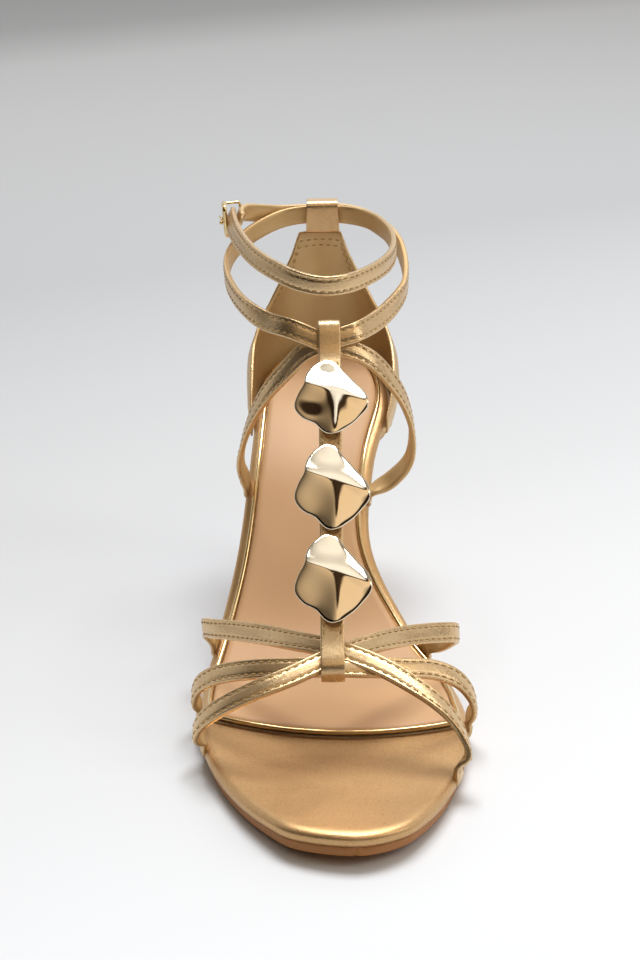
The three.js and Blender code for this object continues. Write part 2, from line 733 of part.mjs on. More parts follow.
// The T-strap runs from the top of the toe loop to the top of the ankle loop, and bows up a
// little where it eases into the ankle loop.
function tStrapRoute() {
  const wall = T_STRAP_THICKNESS / 2;
  const end = (loop, length, way) => loop.centre.clone()
    .addScaledVector(loop.face, loop.outer - wall)
    .addScaledVector(loop.upFoot, way * (length / 2 - loop.outer));
  const from = end(toeLoop, TOE_LOOP_LENGTH, 1);
  const to = end(ankleLoop, ANKLE_LOOP_LENGTH, -1);
  const up = to.clone().sub(from).normalize();
  const face = up.clone().cross(new THREE.Vector3(-1, 0, 0)).normalize();
  const bows = [
    { share: -0.01, bow: 0 },
    { share: 0.25, bow: 0.1 },
    { share: 0.5, bow: 0.5 },
    { share: 0.75, bow: 1 },
    { share: 0.88, bow: 0.75 },
    { share: 1.01, bow: 0 },
  ];
  return bows.map(({ share, bow }) => ({
    at: from.clone().lerp(to, share).addScaledVector(face, bow * T_STRAP_BOW),
    face,
  }));
}

const T_ROUTE = tStrapRoute();
const T_CURVE = new THREE.CatmullRomCurve3(T_ROUTE.map(({ at }) => at), false, 'centripetal');

function tStrap() {
  const whole = joined([
    strap(T_ROUTE, T_STRAP_WIDTH, T_STRAP_THICKNESS),
    toeLoop.geometry,
    ankleLoop.geometry,
  ]);
  return toGeometry(whole.subtract(strapRoom));
}

// How high the ridges lift an ornament's plate at a point of it. Where they meet they blend.
function ridgeAt(point, half) {
  const flat = ORNAMENT_RIDGES.reduce((left, { from, to }) => {
    const start = new THREE.Vector3(...from, 0).multiplyScalar(half);
    const end = new THREE.Vector3(...to, 0).multiplyScalar(half);
    const near = new THREE.Line3(start, end).closestPointToPoint(point, true, new THREE.Vector3());
    return left * (1 - Math.exp(-((near.distanceTo(point) / ORNAMENT_RIDGE_WIDTH) ** 2)));
  }, 1);
  return ORNAMENT_RIDGE * (1 - flat);
}

// A polished plate with raised ridges, seated on the T-strap.
function ornament({ at, height }) {
  const shares = [0.35, 0.7, 1];
  const half = ORNAMENT_SIZE / 2;
  const seat = T_STRAP_THICKNESS / 2 + FIT_GAP + ORNAMENT_THICKNESS / 2;
  const point = ({ turn, reach }, share, side) => {
    const place = new THREE.Vector3(Math.cos(degrees(turn)), Math.sin(degrees(turn)), 0);
    place.multiplyScalar(half * share * reach);
    const edge = share === 1 ? 0.5 : 1;
    const lift = ridgeAt(place, half) + side * edge * ORNAMENT_THICKNESS / 2;
    return new THREE.Vector3(place.x, place.y * height, lift);
  };
  const ring = (share, side) => ORNAMENT_OUTLINE.map((row) => point(row, share, side));
  const plate = loft([
    ...shares.map((share) => ring(share, 1)),
    ...shares.map((share) => ring(share, -1)).reverse(),
  ]);
  const up = T_CURVE.getTangentAt(at);
  const face = up.clone().cross(new THREE.Vector3(-1, 0, 0)).normalize();
  const place = T_CURVE.getPointAt(at).addScaledVector(face, seat);
  const basis = new THREE.Matrix4().makeBasis(up.clone().cross(face), up, face);
  return plate.applyMatrix4(basis.setPosition(place));
}

// Sole pieces

function board() {
  const roll = BOARD_THICKNESS * 0.4;
  const sheetOfBoard = sheet(OUTLINE, [
    { inwards: roll, above: 0 },
    { inwards: roll * 0.3, above: -roll * 0.3 },
    { inwards: 0, above: -roll },
    { inwards: 0, above: roll * 0.5 - BOARD_THICKNESS },
    { inwards: roll * 0.5, above: -BOARD_THICKNESS },
  ]);
  return cutBy(sheetOfBoard, strapRoom);
}

function outsole() {
  const lean = OUTSOLE_THICKNESS * Math.tan(lookUp(PROFILE, 'along', BREAST_AT, 'slope'));
  const breast = BREAST_AT * BED_LENGTH - HEEL_OUTSET - FIT_GAP - lean;
  const outline = stretch(inset(OUTLINE, OUTSOLE_INSET), 0, breast);
  const under = -OUTSOLE_TOP - OUTSOLE_THICKNESS;
  return sheet(outline, [
    { inwards: 0, above: -OUTSOLE_TOP },
    { inwards: 0, above: under + OUTSOLE_THICKNESS * 0.3 },
    { inwards: OUTSOLE_THICKNESS * 0.3, above: under },
  ]);
}

// Outer edge of the piping round the sock. It crosses the bed in front of the ball in a shallow
// curve, and follows the rim from there to the heel.
function sockEdge() {
  const place = ({ along, across }) => ({ along: along * BED_LENGTH, across: across * HALF_BALL });
  const tip = place(SOCK_FRONT.tip);
  const lateralCorner = place(SOCK_FRONT.lateral);
  const medialCorner = place(SOCK_FRONT.medial);
  const side = inset(OUTLINE, RIM_STRIP);
  const half = side.length / 2;
  const stations = side.slice(0, half + 1).map((point, i) => ({
    along: point.x,
    medial: point.y,
    lateral: side[(2 * half - i) % (2 * half)].y,
  }));
  const front = [0, 0.06, 0.2, 0.42, 0.75, 1]
    .map((share) => tip.along + share * (lateralCorner.along - tip.along));
  const clearOfCorner = 6;
  const behind = stations.map(({ along }) => along)
    .filter((along) => along > front.at(-1) + clearOfCorner);
  const places = [...front, ...behind];
  const reachTo = (corner, along) => {
    const share = Math.sqrt(Math.max(0, along - tip.along) / (corner.along - tip.along));
    return tip.across + share * (corner.across - tip.across);
  };
  const last = stations.at(-1).along;
  const rows = places.map((along) => ({
    along,
    medial: Math.min(lookUp(stations, 'along', along, 'medial'), reachTo(medialCorner, along)),
    lateral: Math.max(lookUp(stations, 'along', along, 'lateral'), reachTo(lateralCorner, along)),
  }));
  const medial = rows.map((row) => new THREE.Vector2(row.along, row.medial));
  const lateral = rows.slice(1).filter(({ along }) => along < last - 0.01).reverse()
    .map((row) => new THREE.Vector2(row.along, row.lateral));
  return [...medial, ...lateral];
}

const SOCK_EDGE = sockEdge();

function sock() {
  const round = SOCK_THICKNESS * 0.35;
  return sheet(inset(SOCK_EDGE, PIPING_DIAMETER + FIT_GAP), [
    { inwards: round * 1.6, above: FIT_GAP + SOCK_THICKNESS },
    { inwards: round * 0.4, above: FIT_GAP + SOCK_THICKNESS - round * 0.5 },
    { inwards: 0, above: FIT_GAP + SOCK_THICKNESS - round * 1.6 },
    { inwards: 0, above: FIT_GAP },
  ]);
}

function sockPiping() {
  const sides = 6;
  const radius = PIPING_DIAMETER / 2;
  const path = inset(SOCK_EDGE, radius);
  const rings = path.map((point, i) => {
    const outward = outwardAt(path, i);
    return Array.from({ length: sides }, (_, k) => {
      const angle = 2 * Math.PI * k / sides;
      const place = point.clone().addScaledVector(outward, radius * Math.cos(angle));
      return bedPoint(place.x / BED_LENGTH, place.y, FIT_GAP + radius + radius * Math.sin(angle));
    });
  });
  return loft(rings, true);
}

// Heel

const SEAT_OUTLINE = inset(stretch(OUTLINE, BREAST_AT * BED_LENGTH, BED_LENGTH), -HEEL_OUTSET);
const HEEL_TIP = new THREE.Vector3(0, SEAT_BACK.y - HEEL_TIP_SETBACK, 0);

function heelRing(closed, height) {
  const seat = SEAT_OUTLINE.map((point) => bedPoint(point.x / BED_LENGTH, point.y, -OUTSOLE_TOP));
  const centre = new THREE.Vector3();
  seat.forEach((point) => centre.addScaledVector(point, 1 / seat.length));
  const squareness = 3;
  return seat.map((point) => {
    const away = new THREE.Vector3(point.x - centre.x, point.y - centre.y, 0).normalize();
    const total = Math.abs(away.x) ** squareness + Math.abs(away.y) ** squareness;
    const tip = HEEL_TIP.clone().addScaledVector(away, HEEL_TIP_RADIUS / total ** (1 / squareness));
    const ringPoint = point.clone().lerp(tip, closed);
    ringPoint.z = height(point.z);
    return ringPoint;
  });
}

function heel() {
  const foot = TOP_PIECE_HEIGHT + FIT_GAP;
  return loft(HEEL_TAPER.map(({ down, closed }) => {
    return heelRing(closed, (seatZ) => THREE.MathUtils.lerp(seatZ, foot, down));
  }));
}

function topPiece() {
  return loft([heelRing(1, () => TOP_PIECE_HEIGHT), heelRing(1, () => 0)]);
}

// Counter: a wall round the back of the board, on the heel's seat.
function counter() {
  const outer = inset(OUTLINE, -COUNTER_CLEARANCE);
  const back = outer.length / 2;
  const run = (step) => {
    const rows = [{ point: outer[back], reach: 0, i: back }];
    for (let i = back + step; rows.at(-1).reach < COUNTER_LENGTH; i += step) {
      const before = rows.at(-1);
      rows.push({ point: outer[i], reach: before.reach + outer[i].distanceTo(before.point), i });
    }
    return rows;
  };
  const columns = (step) => {
    const rows = run(step);
    const eachSide = 13;
    return Array.from({ length: eachSide }, (_, k) => {
      const share = (k + 1) / eachSide;
      const reach = share * COUNTER_LENGTH;
      const next = rows.findIndex((row) => row.reach >= reach);
      const from = rows[next - 1];
      const to = rows[next];
      const mix = (reach - from.reach) / (to.reach - from.reach);
      const outward = outwardAt(outer, from.i).lerp(outwardAt(outer, to.i), mix).normalize();
      return { share, outward, point: from.point.clone().lerp(to.point, mix) };
    });
  };
  const middle = { share: 0, outward: outwardAt(outer, back), point: outer[back] };
  const all = [...columns(1).reverse(), middle, ...columns(-1)];
  return loft(all.map(({ share, outward, point }) => {
    const top = COUNTER_HEIGHT * lookUp(COUNTER_TOP, 'reach', share, 'height');
    const forward = bedPoint(1, 0, 0).sub(bedPoint(0.99, 0, 0)).normalize();
    const base = bedPoint(Math.min(point.x / BED_LENGTH, 1), point.y, 0);
    base.addScaledVector(forward, Math.max(0, point.x - BED_LENGTH));
    const away = forward.multiplyScalar(outward.x).add(new THREE.Vector3(outward.y, 0, 0));
    const wall = (offset) => COUNTER_LEVELS.map(({ up, bulge }) => {
      const bulgeHere = COUNTER_BULGE * bulge * Math.min(1, top / (COUNTER_HEIGHT * 0.3));
      const place = base.clone().addScaledVector(away, bulgeHere + offset);
      place.z += THREE.MathUtils.lerp(-BOARD_THICKNESS, top, up);
      return place;
    });
    const thickness = COUNTER_WALL * lookUp(COUNTER_TOP, 'reach', share, 'wall');
    return [...wall(0), ...wall(thickness).reverse()];
  }));
}

// The loop over the ankle straps: an inner leaf down to the counter's top edge, and an outer
// leaf that laps over the counter's back.
function heelLoop() {
  const [innerBack, outerBack] = [INNER_ANKLE, OUTER_ANKLE].map((rows) => {
    return Math.min(...rows.map(({ ahead }) => ahead));
  });
  const straps = onAnkle({ ahead: (innerBack + outerBack) / 2, across: 0, rise: 1 });
  const topEdge = SEAT_BACK.z + COUNTER_HEIGHT;
  const counterFace = SEAT_BACK.y + COUNTER_CLEARANCE + COUNTER_BULGE + COUNTER_WALL;
  const room = ANKLE_DEPTH * (innerBack - outerBack) / 2 + STRAP_THICKNESS / 2 + FIT_GAP;
  const inner = straps.y - room;
  const outer = Math.max(straps.y + room, counterFace + FIT_GAP);
  const crown = straps.z + STRAP_WIDTH / 2 + FIT_GAP;
  const wall = HEEL_LOOP_WALL;
  const corner = wall * 0.6;
  const shape = new THREE.Shape();
  shape.moveTo(inner, topEdge + wall);
  shape.lineTo(inner, crown);
  shape.lineTo(outer, crown);
  shape.lineTo(outer, topEdge - HEEL_LOOP_LAP);
  shape.lineTo(outer + wall, topEdge - HEEL_LOOP_LAP);
  shape.lineTo(outer + wall, crown + wall - corner);
  shape.lineTo(outer + wall - corner, crown + wall);
  shape.lineTo(inner - wall + corner, crown + wall);
  shape.lineTo(inner - wall, crown + wall - corner);
  shape.lineTo(inner - wall, topEdge + wall);
  const geometry = new THREE.ExtrudeGeometry(shape, { depth: HEEL_LOOP_WIDTH, bevelEnabled: false });
  geometry.translate(0, 0, HEEL_LOOP_ASIDE - HEEL_LOOP_WIDTH / 2);
  geometry.applyMatrix4(new THREE.Matrix4().makeBasis(
    new THREE.Vector3(0, 1, 0),
    new THREE.Vector3(0, 0, 1),
    new THREE.Vector3(1, 0, 0),
  ));
  return cutBy(geometry, ankleRoom.add(toSolid(counterBody)));
}

const counterBody = counter();

// Buckle: everything on it is placed in the strap's own directions at the buckle.
function buckleFrameOf() {
  const outerLayer = onAnkle(INNER_ANKLE.at(-1));
  const before = onAnkle(INNER_ANKLE.at(-2));
  const along = outerLayer.clone().sub(before).normalize();
  const face = faceAt(outerLayer);
  face.addScaledVector(along, -face.dot(along)).normalize();
  const middle = before.lerp(outerLayer, 1 - BUCKLE_AT);
  return { middle, along, face, across: face.clone().cross(along) };
}

function placedOnBuckle(geometry, lift, ahead) {
  const { middle, along, face, across } = buckleFrameOf();
  const place = middle.clone().addScaledVector(face, lift).addScaledVector(along, ahead);
  const basis = new THREE.Matrix4().makeBasis(along, across, face);
  return cutBy(geometry.applyMatrix4(basis.setPosition(place)), ankleRoom);
}

function roundedRectangle(path, length, width, corner) {
  const x = length / 2;
  const y = width / 2;
  path.moveTo(-x + corner, -y);
  path.lineTo(x - corner, -y);
  path.absarc(x - corner, -y + corner, corner, -Math.PI / 2, 0);
  path.absarc(x - corner, y - corner, corner, 0, Math.PI / 2);
  path.absarc(-x + corner, y - corner, corner, Math.PI / 2, Math.PI);
  path.absarc(-x + corner, -y + corner, corner, Math.PI, 3 * Math.PI / 2);
  return path;
}

function buckleFrame() {
  const shape = roundedRectangle(new THREE.Shape(), BUCKLE_LENGTH, BUCKLE_WIDTH, BUCKLE_BAR);
  const length = BUCKLE_LENGTH - 2 * BUCKLE_BAR;
  const width = BUCKLE_WIDTH - 2 * BUCKLE_BAR;
  shape.holes.push(roundedRectangle(new THREE.Path(), length, width, BUCKLE_BAR / 2));
  const options = { depth: BUCKLE_BAR, bevelEnabled: false, curveSegments: 3 };
  const geometry = new THREE.ExtrudeGeometry(shape, options);
  return placedOnBuckle(geometry, STRAP_THICKNESS / 2 + FIT_GAP, 0);
}

function buckleProng() {
  const radius = PRONG_DIAMETER / 2;
  const length = BUCKLE_LENGTH;
  const geometry = new THREE.CylinderGeometry(radius * 0.7, radius, length, 8);
  geometry.rotateZ(Math.PI / 2);
  return placedOnBuckle(geometry, STRAP_THICKNESS / 2 + 2 * FIT_GAP + BUCKLE_BAR + radius, 0);
}

function strapKeeper() {
  const layers = 2 * STRAP_THICKNESS + 3 * FIT_GAP;
  const width = STRAP_WIDTH + 2 * FIT_GAP;
  const walls = 2 * KEEPER_WALL;
  const shape = roundedRectangle(new THREE.Shape(), layers + walls, width + walls, KEEPER_WALL);
  shape.holes.push(roundedRectangle(new THREE.Path(), layers, width, KEEPER_WALL / 2));
  const options = { depth: KEEPER_WIDTH, bevelEnabled: false, curveSegments: 3 };
  const geometry = new THREE.ExtrudeGeometry(shape, options);
  geometry.rotateY(-Math.PI / 2);
  return placedOnBuckle(geometry, -STRAP_THICKNESS / 2, BUCKLE_LENGTH / 2 + KEEPER_WIDTH + KEEPER_GAP);
}

// Materials and assembly

const finish = (color, roughness, metalness) => {
  return new THREE.MeshStandardMaterial({ color, roughness, metalness });
};
const goldLeather = finish(0xc9a873, 0.4, 0.7);
const liningLeather = finish(0xb08c58, 0.55, 0.3);
const sockLeather = finish(0xe3c09a, 0.7, 0);
const glossPiping = finish(0xd9bd86, 0.15, 0.9);
const soleRubber = finish(0xa8733f, 0.6, 0);
const topPieceRubber = finish(0x8a6238, 0.7, 0);
const paleGold = finish(0xd8c3a0, 0.08, 1);

const sandal = new THREE.Group();
function add(name, geometry, material) {
  const mesh = new THREE.Mesh(geometry, material);
  mesh.name = name;
  sandal.add(mesh);
}

add('outsole', outsole(), soleRubber);
add('insole_board', board(), goldLeather);
add('sock', sock(), sockLeather);
add('sock_piping', sockPiping(), glossPiping);
add('heel', heel(), goldLeather);
add('heel_top_piece', topPiece(), topPieceRubber);
add('heel_counter', counterBody, liningLeather);
add('heel_loop', heelLoop(), goldLeather);
add('toe_straps', toGeometry(toeStraps), goldLeather);
add('t_strap', tStrap(), goldLeather);
add('ankle_straps', toGeometry(ankleStraps), goldLeather);
ORNAMENTS.forEach((place, i) => add(`ornament_${i + 1}`, ornament(place), paleGold));
add('buckle_frame', buckleFrame(), paleGold);
add('buckle_prong', buckleProng(), paleGold);
add('strap_keeper', strapKeeper(), paleGold);

export default sandal;
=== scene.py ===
import math

import bmesh
import bpy
from mathutils import Matrix, Vector


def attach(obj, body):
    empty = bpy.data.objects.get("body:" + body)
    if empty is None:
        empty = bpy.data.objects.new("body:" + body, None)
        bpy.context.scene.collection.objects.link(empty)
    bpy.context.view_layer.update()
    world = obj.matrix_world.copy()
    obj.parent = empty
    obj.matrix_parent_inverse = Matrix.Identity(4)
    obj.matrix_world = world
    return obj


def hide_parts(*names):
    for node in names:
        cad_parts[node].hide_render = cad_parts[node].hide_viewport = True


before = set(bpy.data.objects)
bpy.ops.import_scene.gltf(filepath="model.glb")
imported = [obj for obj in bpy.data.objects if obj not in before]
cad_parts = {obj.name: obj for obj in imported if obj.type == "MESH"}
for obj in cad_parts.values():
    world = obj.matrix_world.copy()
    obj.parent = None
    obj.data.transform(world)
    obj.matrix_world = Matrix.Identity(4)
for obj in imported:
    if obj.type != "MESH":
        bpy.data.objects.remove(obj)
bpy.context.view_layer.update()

# Camera
# It stands half a metre in front of the toe, with a portrait lens. It looks down on the shoe and
# is rolled a little.
camera_place = Vector((-1.8, -536.8, 290.6)) / 1000
camera_pitch = math.radians(21.0)
camera_roll = math.radians(-1.2)
view_forward = Vector((0, math.cos(camera_pitch), -math.sin(camera_pitch)))
view_right = Vector((1, 0, 0))
view_up = view_right.cross(view_forward)
rolled_right = view_right * math.cos(camera_roll) + view_up * math.sin(camera_roll)
rolled_up = view_up * math.cos(camera_roll) - view_right * math.sin(camera_roll)
camera_data = bpy.data.cameras.new("camera")
camera_data.sensor_width = 36
camera_data.lens = 75
camera_data.clip_start = 0.01
camera = bpy.data.objects.new("camera", camera_data)
camera.matrix_world = Matrix.Translation(camera_place) @ Matrix(
    (rolled_right, rolled_up, -view_forward)
).transposed().to_4x4()
bpy.context.collection.objects.link(camera)
bpy.context.scene.camera = camera
bpy.context.scene.view_settings.view_transform = "Standard"

# Floor and studio light
# A wide sheet of card under a soft box behind the shoe, and a small one on its right. Cream, dark
# and white panels stand around it, to draw bands in the gilt leather and the plated pieces.
floor_reach = 4.0
# Painted shade: the card's tones run from white in front to grey behind, standing in for the falloff of the
# light.
painted_falloff_tones = [
    (0.05, "#E4E8ED"), (0.21, "#C8CBCF"), (0.4, "#AFB2B6"), (0.8, "#B2B4B7"), (0.92, "#9A9C9F"),
]
wall_tones = [
    (0.0, "#B4B2AF"), (0.12, "#97928A"), (0.2, "#342B23"), (0.6, "#29211A"), (0.7, "#E8D2B4"),
    (0.905, "#E6CDAA"), (0.925, "#3A2C1F"), (0.955, "#3A2C1F"), (0.97, "#FFFFFF"),
]
back_tones = [(0.05, "#DCDCDC"), (0.5, "#DCDCDC"), (0.7, "#868686")]


def from_hex(code):
    """Linear colour of an sRGB hex value."""
    channels = [int(code[i:i + 2], 16) / 255 for i in (1, 3, 5)]
    linear = [c / 12.92 if c <= 0.04045 else ((c + 0.055) / 1.055) ** 2.4 for c in channels]
    return (*linear, 1.0)


def add_node(tree, kind, settings=None, links=None):
    """A node with its settings, and its inputs linked to other nodes' outputs."""
    node = tree.nodes.new(kind)
    for key, value in (settings or {}).items():
        if isinstance(key, str) and hasattr(node, key):
            setattr(node, key, value)
        else:
            node.inputs[key].default_value = value
    for key, output in (links or {}).items():
        tree.links.new(output, node.inputs[key])
    return node


def new_material(name):
    """An empty material: its node tree and its output node."""
    material = bpy.data.materials.new(name)
    material.use_nodes = True
    material.node_tree.nodes.clear()
    return material, material.node_tree, material.node_tree.nodes.new("ShaderNodeOutputMaterial")


def lay_tones(stops, tones):
    """Gives a ramp's stops their places and colours."""
    for share, _ in tones[1:-1]:
        stops.new(share)
    for stop, (share, tone) in zip(stops, tones):
        stop.position = share
        stop.color = from_hex(tone)


floor_mesh = bmesh.new()
bmesh.ops.create_grid(floor_mesh, x_segments=8, y_segments=8, size=floor_reach)
floor_data = bpy.data.meshes.new("floor")
floor_mesh.to_mesh(floor_data)
floor = bpy.data.objects.new("floor", floor_data)
bpy.context.collection.objects.link(floor)
# Matt card with painted falloff: its tone falls from white in front to grey behind. This is a painted shade
# that makes the floor fade as it does under one soft light.
graded_card, tree, out = new_material("graded_card")
coords = add_node(tree, "ShaderNodeTexCoord")
card_place = add_node(tree, "ShaderNodeSeparateXYZ", links={0: coords.outputs["Object"]})
card_turned = add_node(tree, "ShaderNodeMath", {"operation": "MULTIPLY_ADD", 1: -0.5}, {
    0: card_place.outputs["X"], 2: card_place.outputs["Y"],
})
card_share = add_node(tree, "ShaderNodeMapRange", {
    "From Min": -0.2, "From Max": 1.8,
}, {0: card_turned.outputs[0]})
card_tone = add_node(tree, "ShaderNodeValToRGB", links={0: card_share.outputs[0]})
lay_tones(card_tone.color_ramp.elements, painted_falloff_tones)
card_shader = add_node(tree, "ShaderNodeBsdfPrincipled", {
    "Roughness": 0.6, "Specular IOR Level": 0.25,
}, {"Base Color": card_tone.outputs[0]})
tree.links.new(card_shader.outputs[0], out.inputs[0])
floor_data.materials.append(graded_card)

key_power = 36
right_power = 3


def soft_box(name, place, aim, width, height, power, tint):
    """A rectangular soft light that faces a point."""
    data = bpy.data.lights.new(name, "AREA")
    data.shape = "RECTANGLE"
    data.size, data.size_y = width, height
    data.energy = power
    data.color = from_hex(tint)[:3]
    light = bpy.data.objects.new(name, data)
    towards = (Vector(aim) - Vector(place)).normalized()
    light.matrix_world = Matrix.Translation(place) @ towards.to_track_quat("-Z", "Y").to_matrix().to_4x4()
    bpy.context.collection.objects.link(light)


soft_box("key_box", (0.15, 0.75, 1.8), (0, 0, 0), 1.2, 0.8, key_power, "#FFFFFF")
soft_box("right_box", (1.2, -0.25, 0.8), (0, 0, 0.03), 0.4, 0.8, right_power, "#FFFFFF")

world = bpy.data.worlds.new("studio")
bpy.context.scene.world = world
world.use_nodes = True
tree = world.node_tree
tree.nodes.clear()
direction = add_node(tree, "ShaderNodeTexCoord")
parts = add_node(tree, "ShaderNodeSeparateXYZ", links={0: direction.outputs["Generated"]})
by_height = add_node(tree, "ShaderNodeValToRGB", links={0: parts.outputs["Z"]})
lay_tones(by_height.color_ramp.elements, wall_tones)
back_tone = add_node(tree, "ShaderNodeValToRGB", links={0: parts.outputs["Z"]})
lay_tones(back_tone.color_ramp.elements, back_tones)
behind = add_node(tree, "ShaderNodeMapRange", {"From Min": 0.02, "From Max": 0.3}, {0: parts.outputs["Y"]})
wall = add_node(
    tree, "ShaderNodeMix", {"data_type": "RGBA"},
    {0: behind.outputs[0], 6: by_height.outputs[0], 7: back_tone.outputs[0]},
)
beside = add_node(tree, "ShaderNodeMapRange", {
    "From Min": -0.5, "From Max": 0.05, "To Min": 0.16, "To Max": 1.25,
}, {0: parts.outputs["X"]})
strength = add_node(tree, "ShaderNodeMath", {"operation": "MAXIMUM"}, {
    0: beside.outputs[0], 1: behind.outputs[0],
})
light = add_node(tree, "ShaderNodeBackground", None, {0: wall.outputs[2], 1: strength.outputs[0]})
add_node(tree, "ShaderNodeOutputWorld", links={0: light.outputs[0]})

# Insole board
# A stiff board, cut to the outline of the foot, moulded to the last and wrapped in gilt leather,
# which is drawn over its rolled edge and lasted under it.
bed_length = 245
half_ball = 81 / 2
heel_rise = 69
toe_slope = 7
seat_slope = 16
ball_at = 0.294
board_thickness = 4
board_roll = 3.6
board_edge = 1.9
roll_steps = 8
outsole_thickness = 2.7
fit_gap = 0.3
outsole_top = board_thickness + fit_gap
tread_to_bed = outsole_thickness + outsole_top
profile_steps = 200
outline_steps = 9


def table(columns, *rows):
    """Rows of numbers under named columns."""
    return [dict(zip(columns.split(), row)) for row in rows]


bed_slopes = table(
    "along toe shank seat",
    (0.00, 1.0, 0.0, 0.0), (0.10, 0.6, 0.0, 0.0), (0.21, 0.0, 0.0, 0.0), (0.35, 0.0, 0.0, 0.0),
    (0.42, 0.0, 0.35, 0.0), (0.50, 0.0, 0.80, 0.0), (0.57, 0.0, 1.0, 0.0), (0.68, 0.0, 0.94, 0.0),
    (0.78, 0.0, 0.36, 0.6), (0.88, 0.0, 0.0, 1.0), (1.00, 0.0, 0.0, 1.0),
)
bed_outline = table(
    "along lateral medial",
    (0.00, -0.15, 0.15), (0.02, 0.26, 0.46), (0.06, 0.48, 0.65), (0.12, 0.69, 0.82), (0.20, 0.88, 0.96),
    (0.29, 0.98, 1.02), (0.39, 0.98, 0.93), (0.49, 0.87, 0.64), (0.61, 0.72, 0.36), (0.735, 0.63, 0.40),
    (0.86, 0.57, 0.55), (0.94, 0.50, 0.50), (0.983, 0.29, 0.30), (1.00, 0.0, 0.0),
)


def look_up(rows, key, place, column):
    """Value of a table's column at a place between its rows."""
    if place <= rows[0][key]:
        return rows[0][column]
    for here, after in zip(rows, rows[1:]):
        if place <= after[key]:
            share = (place - here[key]) / (after[key] - here[key])
            return here[column] + share * (after[column] - here[column])
    return rows[-1][column]


def bed_profile(shank_slope):
    """Side view of the footbed for one slope of the shank: y, z and slope from toe to heel."""
    step = bed_length / profile_steps
    line = []
    y = z = 0.0
    for i in range(profile_steps + 1):
        along = i / profile_steps
        slope = math.radians(
            -toe_slope * look_up(bed_slopes, "along", along, "toe")
            + shank_slope * look_up(bed_slopes, "along", along, "shank")
            + seat_slope * look_up(bed_slopes, "along", along, "seat")
        )
        if i:
            middle = (line[-1][2] + slope) / 2
            y += step * math.cos(middle)
            z += step * math.sin(middle)
        line.append((y, z, slope))
    return line


def between(line, along):
    """The profile's y, z and slope at a share of its length."""
    place = min(max(along, 0.0), 1.0) * profile_steps
    i = min(int(place), profile_steps - 1)
    return [a + (b - a) * (place - i) for a, b in zip(line[i], line[i + 1])]


low_slope, high_slope = 0.0, 80.0
for _ in range(30):
    shank_slope = (low_slope + high_slope) / 2
    trial = bed_profile(shank_slope)
    if trial[-1][1] - between(trial, ball_at)[1] < heel_rise:
        low_slope = shank_slope
    else:
        high_slope = shank_slope
profile = bed_profile(shank_slope)
ball_y, ball_z, _ = between(profile, ball_at)


def bed_point(along, across, above=0.0):
    """A point over or under the footbed, square to it, in millimetres."""
    y, z, slope = between(profile, along)
    return Vector((
        across,
        y - ball_y - math.sin(slope) * above,
        z - ball_z + tread_to_bed + math.cos(slope) * above,
    ))


def hermite(start, end, leave, arrive, share):
    """A point on the curve from start to end, with its directions at both."""
    bend = 3 * (end - start) - 2 * leave - arrive
    turn = 2 * (start - end) + leave + arrive
    return start + leave * share + bend * share ** 2 + turn * share ** 3


def closed_curve(points, steps):
    """Points on an even closed curve through the given ones."""
    made = []
    for i, here in enumerate(points):
        before, after, later = points[i - 1], points[(i + 1) % len(points)], points[(i + 2) % len(points)]
        leave, arrive = (after - before) / 2, (later - here) / 2
        made += [hermite(here, after, leave, arrive, k / steps) for k in range(steps)]
    return made


def outward_at(outline, i):
    """Direction away from an outline at one of its points."""
    run = outline[(i + 1) % len(outline)] - outline[i - 1]
    return Vector((-run.y, run.x)).normalized()


def inset(outline, distance):
    """The outline moved inwards."""
    return [point - outward_at(outline, i) * distance for i, point in enumerate(outline)]


outline_rows = [Vector((row["along"] * bed_length, row["medial"] * half_ball)) for row in bed_outline]
outline_rows += [
    Vector((row["along"] * bed_length, -row["lateral"] * half_ball)) for row in bed_outline[-2:0:-1]
]
sole_outline = [
    Vector((min(max(point.x, 0), bed_length), point.y)) for point in closed_curve(outline_rows, outline_steps)
]


def cut_sheet(outline_at, levels, across=10):
    """A sheet cut flat, with an outline for each level (inwards, above), closed across its faces."""
    bm = bmesh.new()
    outlines = [outline_at(inwards) for inwards, _ in levels]
    count = len(outlines[0])
    ring = bmesh.ops.create_circle(bm, segments=count, radius=1)["verts"]
    rings = [ring]
    for _ in levels[1:]:
        edges = [bm.edges.get((ring[i - 1], ring[i])) for i in range(count)]
        made = set(bmesh.ops.extrude_edge_only(bm, edges=edges)["geom"])
        ring = [next(e.other_vert(v) for e in v.link_edges if e.other_vert(v) in made) for v in ring]
        rings.append(ring)
    for (_, above), outline, ring in zip(levels, outlines, rings):
        for vert, point in zip(ring, outline):
            vert.co = (point.x, point.y, above)
    half = (count - 1) // 2
    for ring in (rings[-1], rings[0]):
        sides = [ring[1:half + 1], ring[count - half:]]
        edges = [bm.edges.get(pair) for side in sides for pair in zip(side, side[1:])]
        bmesh.ops.bridge_loops(bm, edges=edges)
    bmesh.ops.holes_fill(bm, edges=[edge for edge in bm.edges if edge.is_boundary], sides=4)
    medial, lateral = set(sides[0]), set(sides[1])
    cross = [
        edge for edge in bm.edges
        if len(medial.intersection(edge.verts)) == 1 and len(lateral.intersection(edge.verts)) == 1
    ]
    bmesh.ops.subdivide_edges(bm, edges=cross, cuts=across, use_grid_fill=True)
    return bm


def lay_on_bed(bm):
    """Moulds a flat sheet to the footbed."""
    for vert in bm.verts:
        along, across, above = vert.co
        vert.co = bed_point(along / bed_length, across, above)


